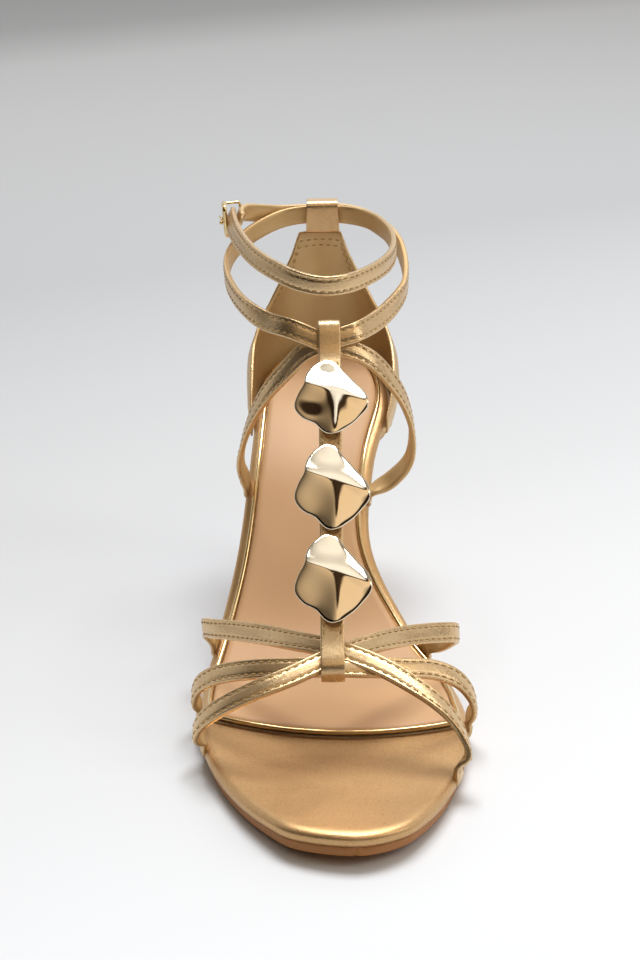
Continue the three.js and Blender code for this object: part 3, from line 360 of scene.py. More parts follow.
def finish_piece(name, bm, materials, nodes=()):
    """The finished mesh, in metres, on the sandal's one body and in place of its solids."""
    bmesh.ops.recalc_face_normals(bm, faces=bm.faces)
    bmesh.ops.scale(bm, vec=(0.001, 0.001, 0.001), verts=bm.verts)
    for face in bm.faces:
        face.smooth = True
    data = bpy.data.meshes.new(name)
    bm.to_mesh(data)
    bm.free()
    for material in materials:
        data.materials.append(material)
    piece = bpy.data.objects.new(name, data)
    bpy.context.collection.objects.link(piece)
    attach(piece, "root")
    if nodes:
        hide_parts(*nodes)
    return piece


def rolled_edge(roll, edge):
    """Levels of a soft edge, from the flat of a sheet's top round to its side."""
    turns = [math.radians(90 * k / roll_steps) for k in range(roll_steps + 1)]
    return [(roll * (1 - math.sin(turn)), edge * (math.cos(turn) - 1)) for turn in turns]


def gilded(name, dark, light, metallic, roughness, depth):
    """Gilt leather: fine-grained goat leather with a transferred metal foil. The foil's soft metallic sheen
    is broken by the pebbled grain, and its colour is darker brown along the creases of the grain."""
    material, tree, out = new_material(name)
    coords = add_node(tree, "ShaderNodeTexCoord")
    grain = add_node(
        tree, "ShaderNodeTexVoronoi", {"feature": "DISTANCE_TO_EDGE", "Scale": 1700.0},
        {"Vector": coords.outputs["Object"]},
    )
    pebble = add_node(
        tree, "ShaderNodeTexNoise", {"Scale": 1500.0, "Detail": 3.0}, {"Vector": coords.outputs["Object"]},
    )
    cloud = add_node(
        tree, "ShaderNodeTexNoise", {"Scale": 60.0, "Detail": 2.0}, {"Vector": coords.outputs["Object"]},
    )
    foil_tone = add_node(tree, "ShaderNodeMix", {
        "data_type": "RGBA", 6: from_hex(dark), 7: from_hex(light),
    }, {0: pebble.outputs["Fac"]})
    crease_darkening = add_node(tree, "ShaderNodeMapRange", {
        "From Min": 0.0, "From Max": 0.07, "To Min": 0.6, "To Max": 0.0,
    }, {0: grain.outputs["Distance"]})
    foil = add_node(tree, "ShaderNodeMix", {
        "data_type": "RGBA", 7: from_hex("#9C7440"),
    }, {0: crease_darkening.outputs[0], 6: foil_tone.outputs[2]})
    sheen = add_node(tree, "ShaderNodeMapRange", {
        "From Min": 0.3, "From Max": 0.7, "To Min": roughness - 0.04, "To Max": roughness + 0.05,
    }, {0: cloud.outputs["Fac"]})
    relief = add_node(tree, "ShaderNodeMath", {"operation": "ADD"}, {
        0: grain.outputs["Distance"], 1: pebble.outputs["Fac"],
    })
    bump = add_node(
        tree, "ShaderNodeBump", {"Strength": 0.5, "Distance": depth}, {"Height": relief.outputs[0]},
    )
    shader = add_node(tree, "ShaderNodeBsdfPrincipled", {"Metallic": metallic}, {
        "Base Color": foil.outputs[2], "Roughness": sheen.outputs[0], "Normal": bump.outputs[0],
    })
    tree.links.new(shader.outputs[0], out.inputs[0])
    return material


# The board's copy of the gilt leather is duller, and its darker tones are a painted shade on the same leather
# as the straps and the heel.
board_leather_painted_shade = gilded("gilt_leather_on_board", "#C39765", "#DAB786", 0.75, 0.34, 0.00012)
gilt_leather = gilded("gilt_leather", "#D2AE7E", "#EBD0A4", 0.84, 0.27, 0.00011)

board_levels = [(board_roll + 5, 0.0), (board_roll + 2, 0.0)]
board_levels += rolled_edge(board_roll, board_edge)
board_levels += [(0, -2.8), (0.15, -3.4), (0.5, -3.8), (1.1, -board_thickness)]
board = cut_sheet(lambda inwards: inset(sole_outline, inwards), board_levels)
lay_on_bed(board)
finish_piece("insole_board_wrapped", board, [board_leather_painted_shade], ["insole_board"])

# Outsole
# A moulded rubber sole, cemented under the forefoot and the shank. Its edge is trimmed square
# and its tread is a fine pebble.
breast_at = 0.835
heel_outset = 2
outsole_inset = 1
cut_clear = 0.4
breast_slope = between(profile, breast_at)[2]
breast = breast_at * bed_length - heel_outset - fit_gap - outsole_thickness * math.tan(breast_slope)


def stretch(outline, start, end):
    """The stretch of an outline between two places along the bed, closed straight across."""
    half = len(outline) // 2
    stations = [
        {"along": outline[i].x, "medial": outline[i].y, "lateral": outline[-i].y} for i in range(half + 1)
    ]
    rows = [row for row in stations if start + cut_clear < row["along"] < end - cut_clear]

    def cut_at(along):
        sides = {side: look_up(stations, "along", along, side) for side in ("medial", "lateral")}
        return {"along": along, **sides}

    rows.insert(0, cut_at(start) if start > 0 else stations[0])
    rows.append(cut_at(end) if end < bed_length else stations[-1])
    medial = [Vector((row["along"], row["medial"])) for row in rows]
    lateral = [
        Vector((row["along"], row["lateral"])) for row in rows if abs(row["medial"] - row["lateral"]) > 0.01
    ]
    return medial + lateral[::-1]


def finish_of(name, tones, drift, settings, pebble=None, grain=None, polish=None):
    """A material whose colour drifts between two tones in a noise of (scale, detail). It may have a
    pebble of (scale, strength, depth), a grain of (scale, detail, strength, depth), and a polish of
    (scale, detail, least roughness, most)."""
    material, tree, out = new_material(name)
    place = {"Vector": add_node(tree, "ShaderNodeTexCoord").outputs["Object"]}
    cloud = add_node(tree, "ShaderNodeTexNoise", {"Scale": drift[0], "Detail": drift[1]}, place)
    tone = add_node(tree, "ShaderNodeMix", {
        "data_type": "RGBA", 6: from_hex(tones[0]), 7: from_hex(tones[1]),
    }, {0: cloud.outputs["Fac"]})
    shader = add_node(tree, "ShaderNodeBsdfPrincipled", settings, {"Base Color": tone.outputs[2]})
    if pebble or grain:
        *_, strength, depth = pebble or grain
        if pebble:
            cells = add_node(tree, "ShaderNodeTexVoronoi", {"Scale": pebble[0]}, place)
        else:
            cells = add_node(tree, "ShaderNodeTexNoise", {"Scale": grain[0], "Detail": grain[1]}, place)
        bump = add_node(tree, "ShaderNodeBump", {"Strength": strength, "Distance": depth}, {
            "Height": cells.outputs["Distance" if pebble else "Fac"],
        })
        tree.links.new(bump.outputs[0], shader.inputs["Normal"])
    if polish:
        scale, detail, least, most = polish
        haze = add_node(tree, "ShaderNodeTexNoise", {"Scale": scale, "Detail": detail}, place)
        spread = add_node(
            tree, "ShaderNodeMapRange", {"To Min": least, "To Max": most}, {0: haze.outputs["Fac"]},
        )
        tree.links.new(spread.outputs[0], shader.inputs["Roughness"])
    tree.links.new(shader.outputs[0], out.inputs[0])
    return material


# Sole rubber: a matt tan thermoplastic rubber from a mould, with a light speckle and fine pebble.
sole_rubber = finish_of(
    "sole_rubber", ("#A2682E", "#B57B40"), (500.0, 4.0), {"Roughness": 0.55, "IOR": 1.52},
    pebble=(450.0, 0.4, 0.0003),
)

outsole_under = -outsole_top - outsole_thickness
outsole_outline = stretch(inset(sole_outline, outsole_inset), 0, breast)
outsole = cut_sheet(lambda inwards: inset(outsole_outline, inwards), [
    (0.5, 0.2 - board_thickness), (0.1, -board_thickness), (0, -outsole_top - 0.4),
    (0, outsole_under + 0.9), (0.15, outsole_under + 0.45), (0.5, outsole_under + 0.1),
    (1.0, outsole_under),
], across=2)
lay_on_bed(outsole)
finish_piece("outsole_moulded", outsole, [sole_rubber], ["outsole"])

# Sock and its piping
# A padded sock of smooth nappa leather, cemented on the board behind the toes. Its edge is
# bound with a thin gilt piping, which crosses the bed in a shallow curve.
rim_strip = 2.6
piping_radius = 0.7
sock_thickness = 2.2
sock_front_steps = 14
sock_front_clear = 9
painted_shadow_top = 1.15
sock_tip = Vector((0.245 * bed_length, 0.2 * half_ball))
sock_corners = {
    "medial": Vector((0.267 * bed_length, 0.94 * half_ball)),
    "lateral": Vector((0.298 * bed_length, -0.9 * half_ball)),
}


def sock_outline(inwards):
    """Edge of the sock: a shallow curve in front of the ball, then along the rim."""
    side = inset(sole_outline, rim_strip + inwards)
    half = len(side) // 2
    stations = [{"along": side[i].x, "medial": side[i].y, "lateral": side[-i].y} for i in range(half + 1)]
    front_end = sock_corners["lateral"].x
    shares = [k / sock_front_steps for k in range(sock_front_steps + 1)]
    places = [sock_tip.x + share ** 2 * (front_end - sock_tip.x) + inwards for share in shares]
    clear_of = front_end + sock_front_clear
    places += [row["along"] for row, base in zip(stations, sole_outline) if base.x > clear_of]

    def reach(corner, along):
        share = math.sqrt(max(0.0, along - sock_tip.x - inwards) / (corner.x - sock_tip.x))
        return sock_tip.y + share * (corner.y - sock_tip.y)

    medial, lateral = (
        [Vector((along, nearer(look_up(stations, "along", along, side), reach(sock_corners[side], along))))
         for along in places]
        for side, nearer in (("medial", min), ("lateral", max))
    )
    return medial + lateral[-2:0:-1]


# Nappa leather: smooth full-grain lining leather in a peach tint, matt, with fine pores and the
# soft cloudiness of a sponged finish.
nappa_leather = finish_of(
    "nappa_leather", ("#D0A578", "#D9B084"), (28.0, 3.0),
    {"Roughness": 0.5, "IOR": 1.5, "Specular IOR Level": 0.35}, grain=(1400.0, 2.0, 0.25, 0.00005),
)

# Painted shadow: the sock's lower side is a dark brown, matt band, a painted shade in the recess under the
# piping.
sock_edge_painted_shadow = finish_of(
    "latex_foam", ("#3A2613", "#54391F"), (1200.0, 2.0), {"Roughness": 0.8, "Specular IOR Level": 0.2},
)

# Piping foil: a smooth gilt foil drawn tight over a cord, so it shines like plated wire.
piping_foil = finish_of(
    "piping_foil", ("#DDBE86", "#EBD3A4"), (220.0, 2.0), {"Metallic": 1.0, "Roughness": 0.16},
    grain=(220.0, 2.0, 0.15, 0.0001),
)

sock_top = fit_gap + sock_thickness
sock_inset = 2 * piping_radius + fit_gap
sock_levels = [(sock_inset + 6, sock_top), (sock_inset + 3.4, sock_top - 0.02)]
sock_levels += [(sock_inset + inwards, sock_top + above) for inwards, above in rolled_edge(2.2, 1.3)]
sock_levels += [(sock_inset + 0.3, 1.1), (sock_inset + 1.6, 1.0), (sock_inset + 1.6, -0.3)]
sock = cut_sheet(sock_outline, sock_levels)
# The faces low on the sock's side take the painted shadow under the piping.
for face in sock.faces:
    if max(vert.co.z for vert in face.verts) < painted_shadow_top:
        face.material_index = 1
lay_on_bed(sock)
finish_piece("sock_padded", sock, [nappa_leather, sock_edge_painted_shadow], ["sock"])


def wrap_grid(columns, rows, place, slot_of=None):
    """A grid whose corners go where place(column, row) says. It closes where corners meet."""
    bm = bmesh.new()
    bmesh.ops.create_grid(bm, x_segments=columns, y_segments=rows, size=1)
    if slot_of:
        for face in bm.faces:
            face.material_index = slot_of(int((face.calc_center_median().y + 1) / 2 * rows))
    for vert in bm.verts:
        column = round((vert.co.x + 1) / 2 * columns)
        row = round((vert.co.y + 1) / 2 * rows)
        vert.co = place(column, row)
    bmesh.ops.remove_doubles(bm, verts=bm.verts, dist=0.0005)
    bmesh.ops.holes_fill(bm, edges=[edge for edge in bm.edges if edge.is_boundary], sides=0)
    bmesh.ops.recalc_face_normals(bm, faces=bm.faces)
    return bm


piping_path = sock_outline(piping_radius)
piping_sides = 12
piping_lift = 1.7


def piping_point(column, row):
    """A point on the piping, round its cord."""
    column %= len(piping_path)
    turn = 2 * math.pi * (row % piping_sides) / piping_sides
    place = piping_path[column] + outward_at(piping_path, column) * piping_radius * math.cos(turn)
    height = piping_lift + piping_radius * math.sin(turn)
    return bed_point(place.x / bed_length, place.y, height)


piping = wrap_grid(len(piping_path), piping_sides, piping_point)
finish_piece("sock_piping_bound", piping, [piping_foil], ["sock_piping"])

# Heel and top piece
# A moulded heel block, covered in the same gilt leather and screwed up under the seat, with a
# firm rubber top piece pinned to its tip.
seat_back = bed_point(1, 0)
heel_tip = Vector((0, seat_back.y - 17, 0))
heel_tip_radius = 7
top_piece_height = 5
heel_gap = 0.25
heel_taper = table(
    "down closed",
    (0.00, 0.0), (0.06, 0.03), (0.18, 0.30), (0.32, 0.60), (0.50, 0.82), (0.72, 0.95), (1.00, 1.0),
)
seat_outline = inset(stretch(sole_outline, breast_at * bed_length, bed_length), -heel_outset)
seat_ring = [bed_point(point.x / bed_length, point.y, -outsole_top) for point in seat_outline]
seat_middle = sum(seat_ring, Vector()) / len(seat_ring)


def through(rows, key, place, column):
    """Value of a table's column on a smooth curve through its rows."""
    i = next((k for k in range(len(rows) - 1) if place <= rows[k + 1][key]), len(rows) - 2)
    before, here, after, later = (rows[min(max(i + k, 0), len(rows) - 1)] for k in (-1, 0, 1, 2))
    span = after[key] - here[key]
    share = min(max((place - here[key]) / span, 0.0), 1.0)
    leave = (after[column] - before[column]) / (after[key] - before[key]) * span
    arrive = (later[column] - here[column]) / (later[key] - here[key]) * span
    return hermite(here[column], after[column], leave, arrive, share)


def heel_point(i, closed, height_of):
    """A point of the heel's ring: the seat's outline, closed towards the squarish tip."""
    point = seat_ring[i % len(seat_ring)]
    away = Vector((point.x - seat_middle.x, point.y - seat_middle.y, 0)).normalized()
    size = (abs(away.x) ** 3 + abs(away.y) ** 3) ** (1 / 3)
    tip = heel_tip + away * heel_tip_radius / size
    place = point.lerp(tip, closed)
    place.z = height_of(point.z)
    return place


heel_rows = 40
heel_foot = top_piece_height + 0.1


def heel_surface(column, row):
    """A point on the heel, round its ring and down from the seat."""
    down = row / heel_rows
    closed = through(heel_taper, "down", down, "closed")
    return heel_point(column, closed, lambda top: top + heel_gap + (heel_foot - top - heel_gap) * down)


heel = wrap_grid(len(seat_ring), heel_rows, heel_surface)
finish_piece("heel_covered", heel, [gilt_leather], ["heel"])

# Top-piece rubber: a hard brown rubber, cut from sheet and buffed on its side.
top_rubber = finish_of(
    "top_piece_rubber", ("#7C5630", "#94693D"), (700.0, 3.0), {"Roughness": 0.65},
    grain=(700.0, 3.0, 0.3, 0.0001),
)

top_piece = wrap_grid(len(seat_ring), 1, lambda column, row: heel_point(
    column, 1, lambda top: top_piece_height * row,
))
top_edges = [edge for edge in top_piece.edges if edge.calc_face_angle(0) > 1]
bmesh.ops.bevel(
    top_piece, geom=top_edges, offset=0.35, affect="EDGES", segments=2, profile=0.5, material=-1,
)
finish_piece("heel_top_piece_cut", top_piece, [top_rubber], ["heel_top_piece"])

# Counter
# A moulded stiffener between the outer leather and the lining, lasted round the heel seat. A
# double row of stitches holds its lining at the top, and a single row follows its side edges.
counter_wall = 2
counter_clearance = 0.6
counter_height = 42
counter_reach = 58
counter_bulge = 2.4
counter_top = table(
    "reach height wall",
    (0.00, 1.0, 1), (0.12, 1.0, 1), (0.16, 0.84, 1), (0.24, 0.65, 1), (0.33, 0.50, 1), (0.42, 0.40, 1),
    (0.54, 0.31, 1), (0.70, 0.22, 0.9), (0.85, 0.13, 0.7), (1.00, 0.03, 0.3),
)
counter_levels = table("up bulge", (0.0, 0.25), (0.18, 0.7), (0.4, 1.0), (0.7, 0.95), (1.0, 0.6))

# Lining leather: thin pigskin lining with a pearl finish, tan and satin, its pores just showing.
lining_leather = finish_of(
    "lining_leather", ("#C6A26D", "#DABA84"), (90.0, 3.0), {"Roughness": 0.42, "Metallic": 0.35},
    pebble=(1100.0, 0.3, 0.0001),
)

# Stitching thread: bonded polyester thread, gold-brown, with a slight lustre.
stitch_thread = finish_of(
    "stitch_thread", ("#A17C4B", "#CBAA6B"), (2500.0, 2.0), {"Roughness": 0.5},
)

counter_outline = inset(sole_outline, -counter_clearance)


def counter_top_at(reach, column):
    """A value of the counter's top edge at a reach from its back."""
    return look_up(counter_top, "reach", abs(reach) / counter_reach, column)


def counter_run(step):
    """The board's outline from the middle of the back to one side, with the reach along it."""
    i = len(counter_outline) // 2
    rows = [{"reach": 0.0, "along": counter_outline[i].x, "across": 0.0, "away_x": 1.0, "away_y": 0.0}]
    while rows[-1]["reach"] < counter_reach:
        i += step
        point = counter_outline[i]
        away = outward_at(counter_outline, i)
        gone = (point - Vector((rows[-1]["along"], rows[-1]["across"]))).length
        rows.append({
            "reach": rows[-1]["reach"] + gone, "along": point.x, "across": point.y,
            "away_x": away.x, "away_y": away.y,
        })
    return rows


counter_sides = {1: counter_run(-1), -1: counter_run(1)}
bed_forward = (bed_point(1, 0) - bed_point(0.99, 0)).normalized()


def counter_point(reach, up, wall):
    """A point on the counter: its reach from the back, positive on the medial side, its share of
    the height and its share of the wall."""
    rows = counter_sides[1 if reach >= 0 else -1]
    at = {key: look_up(rows, "reach", abs(reach), key) for key in ("along", "across", "away_x", "away_y")}
    top = counter_height * counter_top_at(reach, "height")
    thickness = counter_wall * counter_top_at(reach, "wall")
    base = bed_point(min(at["along"] / bed_length, 1), at["across"])
    base += bed_forward * max(0.0, at["along"] - bed_length)
    away = (bed_forward * at["away_x"] + Vector((at["away_y"], 0, 0))).normalized()
    lasted = min(1.0, top / (counter_height * 0.3))
    bulge = counter_bulge * through(counter_levels, "up", up, "bulge") * lasted
    place = base + away * (bulge + thickness * wall)
    place.z += (top + board_thickness) * up - board_thickness
    return place


counter_columns = 120
counter_rows = 22
counter_round = 5
counter_ring = [(k / counter_rows, 0.0) for k in range(counter_rows + 1)]
counter_ring += [
    (1 + 0.016 * math.sin(math.pi * k / counter_round), 0.3 - 0.3 * math.cos(math.pi * k / counter_round))
    for k in range(1, counter_round)
]
counter_ring += [
    (1 - k / counter_rows, 1 - 0.4 * max(0.0, 1 - k / counter_rows / 0.2)) for k in range(counter_rows + 1)
]


def counter_surface(column, row):
    """A point on the counter's wall: up the lining, over the top edge and down the outside."""
    up, wall = counter_ring[row % len(counter_ring)]
    return counter_point(counter_reach * (2 * column / counter_columns - 1), up, wall)


counter = wrap_grid(
    counter_columns, len(counter_ring), counter_surface,
    lambda row: 1 if row <= counter_rows else 0,
)
lined_leather = [gilt_leather, lining_leather]
finish_piece("heel_counter_lasted", counter, lined_leather, ["heel_counter"])
thread_width = 0.62
thread_height = 0.42


def sew(bm, line, pitch, length):
    """Stitches along a line of (point, face), each a small stretched bead of thread."""
    gone = 0.0
    due = pitch / 2
    for (here, face), (after, _) in zip(line, line[1:]):
        step = after - here
        while due <= gone + step.length:
            run = step.normalized()
            place = here + run * (due - gone)
            side = run.cross(face).normalized()
            basis = Matrix((
                run * length / 2, side * thread_width / 2, side.cross(run) * thread_height / 2,
            )).transposed()
            bmesh.ops.create_icosphere(
                bm, subdivisions=1, radius=1, matrix=Matrix.Translation(place) @ basis.to_4x4(),
            )
            due += pitch
        gone += step.length


counter_thread = bmesh.new()
seam_steps = 160
seam_least = 8
seam_outer, seam_inner = 2.4, 4.6
for below in (seam_outer, seam_inner):
    seam = []
    for k in range(-seam_steps, seam_steps + 1):
        reach = counter_reach * 0.97 * k / seam_steps
        top = counter_height * counter_top_at(reach, "height")
        up = 1 - below / (top + board_thickness)
        if top < seam_least or (below > seam_outer and abs(reach) > 0.2 * counter_reach):
            continue
        inner = counter_point(reach, up, 0)
        seam.append((inner, (inner - counter_point(reach, up, 1)).normalized()))
    sew(counter_thread, seam, pitch=2.6, length=1.8)
finish_piece("counter_stitches", counter_thread, [stitch_thread])

# Toe straps
# Three folded straps of gilt leather with a tan lining, sewn along both edges. Their ends are
# tucked in under the board, and they cross in a bundle under the T-strap's folded end.
strap_width = 6.2
strap_thickness = 1.8
tuck_length = 6.5
strap_sunk = 0.9
instep_height = 74
station_step = 1.2
stitch_inset = 1.25
stitch_pitch = 2.6
stitch_length = 1.9
groove_width = 0.42
groove_depth = 0.16
strap_crown = 0.12
strap_roll = 0.45
section_steps = 30
foot_middle = table(
    "along rise flat fore",
    (0.00, 0.06, 0.45, 0.8), (0.34, 0.06, 0.45, 0.8), (0.48, 0.22, 0.6, 0.6), (0.60, 0.45, 1.1, 0.5),
    (0.78, 0.60, 1.7, 0.4), (0.80, 1.60, 1.9, 0.0),
)
toe_straps = [
    {
        "lateral": 0.467, "medial": 0.156,
        "line": table(
            "along across rise",
            (0.457, -0.97, 0.10), (0.422, -0.89, 0.19), (0.380, -0.71, 0.27), (0.337, -0.51, 0.325),
            (0.294, -0.29, 0.365), (0.253, 0.02, 0.387), (0.232, 0.32, 0.352), (0.216, 0.53, 0.307),
            (0.197, 0.74, 0.246), (0.180, 0.87, 0.186), (0.167, 0.94, 0.120), (0.159, 0.955, 0.062),
        ),
    },
    {
        "lateral": 0.240, "medial": 0.452,
        "line": table(
            "along across rise",
            (0.230, -0.985, 0.065), (0.222, -0.93, 0.135), (0.211, -0.79, 0.210), (0.208, -0.56, 0.280),
            (0.217, -0.28, 0.330), (0.243, 0.02, 0.366), (0.290, 0.33, 0.349), (0.330, 0.56, 0.314),
            (0.364, 0.79, 0.271), (0.390, 0.95, 0.222), (0.416, 0.98, 0.155), (0.439, 0.88, 0.062),
        ),
    },
    {
        "lateral": 0.327, "medial": 0.278,
        "line": table(
            "along across rise",
            (0.318, -1.02, 0.070), (0.310, -0.99, 0.136), (0.296, -0.90, 0.198), (0.278, -0.765, 0.250),
            (0.256, -0.56, 0.298), (0.237, -0.23, 0.333), (0.230, 0.02, 0.345), (0.231, 0.25, 0.337),
            (0.243, 0.51, 0.313), (0.262, 0.76, 0.270), (0.270, 0.92, 0.218), (0.272, 1.015, 0.155),
            (0.272, 1.055, 0.080),
        ),
    },
]


def on_foot(row):
    """A point on the foot, straight above the bed."""
    point = bed_point(row["along"], row["across"] * half_ball)
    point.z += row["rise"] * instep_height
    return point


middle_line = [
    (on_foot({"along": row["along"], "across": 0, "rise": row["rise"]}), Vector((row["flat"], row["fore"])))
    for row in foot_middle
]


def face_at(point):
    """Direction in which a strap turns its face: away from the middle of the foot, and forwards
    where it lies on the slope of the instep."""
    beside = Vector((0, point.y, point.z))
    found = []
    for (start, start_form), (end, end_form) in zip(middle_line, middle_line[1:]):
        run = end - start
        share = min(max((beside - start).dot(run) / run.length_squared, 0.0), 1.0)
        near = start + run * share
        found.append(((near - beside).length, near, start_form.lerp(end_form, share)))
    _, near, (flat, fore) = min(found, key=lambda item: item[0])
    face = Vector((point.x * flat, point.y - near.y, point.z - near.z)).normalized()
    face.y -= fore * max(0.0, face.z)
    return face.normalized()


def free_point(at, lean=0.0):
    """A point on a strap's route, with its face turned up by its lean."""
    return at, (face_at(at) + Vector((0, 0, lean))).normalized()


def tucked_foot(along, side):
    """A strap's foot, from beside the sole's edge to its end under the board."""
    wanted = 1 if side == "medial" else -1
    run = []
    for i, point in enumerate(sole_outline):
        away = outward_at(sole_outline, i)
        if away.y * wanted > 0:
            run.append({"along": point.x, "across": point.y, "away_x": away.x, "away_y": away.y})
    run.sort(key=lambda row: row["along"])
    at = {key: look_up(run, "along", along * bed_length, key) for key in ("across", "away_x", "away_y")}
    up = bed_point(along, 0, 1) - bed_point(along, 0, 0)
    forward = (bed_point(along + 0.001, 0) - bed_point(along - 0.001, 0)).normalized()
    outward = (forward * at["away_x"] + Vector((at["away_y"], 0, 0))).normalized()
    beside = strap_thickness / 2 - strap_sunk
    bend = strap_thickness * 0.7
    below = board_thickness - strap_thickness / 2 - fit_gap / 2
    slant = bend * math.sqrt(0.5)

    def point(out, above, share):
        face = (outward * share + up * (share - 1)).normalized()
        return bed_point(along, at["across"], above) + outward * out, face

    return [
        point(beside, strap_thickness, 1),
        point(beside, bend - below, 1),
        point(beside - bend + slant, bend - below - slant, 0.5),
        point(beside - bend, -below, 0),
        point(-tuck_length, -below, 0),
    ]


def smooth_through(points):
    """A curve through points that keeps close to them. It takes a point's number and share."""
    padded = [2 * points[0] - points[1], *points, 2 * points[-1] - points[-2]]

    def at(place):
        i = min(max(int(place), 0), len(points) - 2)
        p, q, r, s = padded[i:i + 4]
        middle = math.sqrt((r - q).length)
        middle = middle if middle > 1e-4 else 1.0
        first = math.sqrt((q - p).length)
        last = math.sqrt((s - r).length)
        first = first if first > 1e-4 else middle
        last = last if last > 1e-4 else middle
        leave = ((q - p) / first - (r - p) / (first + middle) + (r - q) / middle) * middle
        arrive = ((r - q) / middle - (s - q) / (middle + last) + (s - r) / last) * middle
        return hermite(q, r, leave, arrive, place - i)

    return at


def stations_of(route, step=station_step):
    """Stations along a route of (point, face): each a point, its run and its face square to it."""
    line = smooth_through([at for at, _ in route])
    faces = smooth_through([face for _, face in route])
    places = []
    for i, ((here, _), (after, _)) in enumerate(zip(route, route[1:])):
        steps = max(1, round((after - here).length / step))
        places += [i + k / steps for k in range(steps)]
    places.append(len(route) - 1)
    stations = []
    for place in places:
        run = (line(place + 0.002) - line(place - 0.002)).normalized()
        face = faces(place)
        face = (face - run * face.dot(run)).normalized()
        stations.append((line(place), run, face))
    return stations


def strap_section(width, thickness, groove):
    """Section of a sewn strap: its face has rolled edges and a groove for each row of stitches."""
    half = width / 2
    top = thickness / 2
    upper = []
    for k in range(section_steps + 1):
        across = -half * math.cos(math.pi * k / section_steps)
        inside = half - abs(across)
        height = top - strap_crown * (across / half) ** 2
        if inside < strap_roll:
            height -= strap_roll - math.sqrt(strap_roll ** 2 - (strap_roll - inside) ** 2)
        seam = (inside - stitch_inset) / groove_width
        height -= groove * math.exp(-seam * seam)
        upper.append((across, height))
    right = [(half, -top + 0.3), (half - 0.3, -top), (half * 0.5, -top)]
    return upper + right + [(-across, height) for across, height in right[::-1]]


def sweep(stations, section):
    """A band drawn along its stations. Its lining is the part of the section from lining_start on."""
    def place(column, row):
        at, run, face = stations[column]
        across, above = section[row % len(section)]
        return at + run.cross(face) * across + face * above

    return wrap_grid(
        len(stations) - 1, len(section), place, lambda row: 1 if row >= lining_start else 0,
    )


def join(whole, part):
    """Adds one mesh to another."""
    data = bpy.data.meshes.new("part")
    part.to_mesh(data)
    part.free()
    whole.from_mesh(data)
    bpy.data.meshes.remove(data)


def edge_line(stations, across, above):
    """The line of a row of stitches on a strap, as (point, face)."""
    return [(at + run.cross(face) * across + face * above, face) for at, run, face in stations]


strap_ring = strap_section(strap_width, strap_thickness, groove_depth)
lining_start = section_steps + 1
seam_above = strap_thickness / 2 - strap_crown
seam_across = strap_width / 2 - stitch_inset
tuck_stations = round((tuck_length + 2) / station_step)


def sewn_strap(leather, thread, route, bare_end):
    """Adds a strap along its route, and its two rows of stitches as far as its bare end."""
    stations = stations_of(route)
    join(leather, sweep(stations, strap_ring))
    for side in (-1, 1):
        line = edge_line(stations[tuck_stations:-bare_end], side * seam_across, seam_above)
        sew(thread, line, stitch_pitch, stitch_length)


toe_mesh = bmesh.new()
toe_thread = bmesh.new()
for strap in toe_straps:
    route = tucked_foot(strap["lateral"], "lateral")[::-1]
    route += [free_point(on_foot(row)) for row in strap["line"]]
    route += tucked_foot(strap["medial"], "medial")
    sewn_strap(toe_mesh, toe_thread, route, tuck_stations)
finish_piece("toe_straps_sewn", toe_mesh, lined_leather, ["toe_straps"])
finish_piece("toe_strap_stitches", toe_thread, [stitch_thread])

# Ankle straps
# Two longer straps of the same make rise from the arch, cross on the instep and go round the
# ankle through the heel loop. The inner one comes round the front to the buckle.
ankle_width = 62
ankle_depth = 90
ankle_height = 49.5
ankle_back = 1.2
medial_arch = {
    "foot": 0.686,
    "line": table(
        "along across rise",
        (0.679, 0.53, 0.090), (0.668, 0.68, 0.220), (0.653, 0.705, 0.400), (0.633, 0.64, 0.600),
        (0.612, 0.53, 0.765), (0.598, 0.38, 0.897), (0.590, 0.22, 0.968), (0.586, 0.05, 1.006),
    ),
}
lateral_arch = {
    "foot": 0.704,
    "line": table(
        "along across rise",
        (0.694, -0.665, 0.075), (0.677, -0.69, 0.190), (0.662, -0.66, 0.330), (0.642, -0.575, 0.515),
        (0.622, -0.455, 0.685), (0.607, -0.30, 0.825), (0.596, -0.15, 0.940), (0.585, 0.05, 1.024),
    ),
}
inner_ankle = table(
    "ahead across rise lean",
    (0.985, -0.29, 0.682, 0), (0.889, -0.58, 0.694, 0), (0.772, -0.80, 0.730, 0),
    (0.606, -0.965, 0.782, 0), (0.456, -1.02, 0.832, 0), (0.340, -0.985, 0.872, 0),
    (0.215, -0.86, 0.915, 0), (0.094, -0.64, 0.956, 0), (0.026, -0.42, 0.985, 0),
    (0.005, -0.20, 1.0, 0), (0.000, 0.03, 1.0, 0), (0.012, 0.26, 1.0, 0), (0.070, 0.47, 1.0, 0),
    (0.170, 0.63, 1.0, 0), (0.310, 0.735, 0.997, 0), (0.450, 0.78, 0.992, 0),
    (0.593, 0.765, 0.985, 0), (0.720, 0.68, 0.975, 0), (0.850, 0.49, 0.965, 0),
    (0.955, 0.24, 0.962, 0), (0.985, 0.01, 0.966, 0), (0.948, -0.22, 0.980, 0),
    (0.853, -0.46, 1.004, 0.1), (0.725, -0.68, 1.034, 0.2), (0.567, -0.84, 1.068, 0.3),
    (0.390, -0.945, 1.094, 0.4), (0.230, -0.985, 1.104, 0.4),
)
outer_ankle = table(
    "ahead across rise lean",
    (0.990, 0.31, 0.655, 0), (0.900, 0.53, 0.675, 0), (0.781, 0.72, 0.709, 0),
    (0.644, 0.87, 0.760, 0), (0.510, 0.91, 0.808, 0), (0.390, 0.90, 0.855, 0),
    (0.270, 0.85, 0.900, 0), (0.140, 0.71, 0.945, 0), (0.030, 0.49, 0.985, 0),
    (-0.020, 0.25, 1.0, 0), (-0.028, 0.02, 1.0, 0), (-0.022, -0.22, 1.0, 0),
    (0.008, -0.45, 1.010, 0), (0.065, -0.67, 1.045, 0.15), (0.145, -0.84, 1.085, 0.3),
    (0.235, -0.895, 1.100, 0.4), (0.315, -0.870, 1.094, 0.4),
)


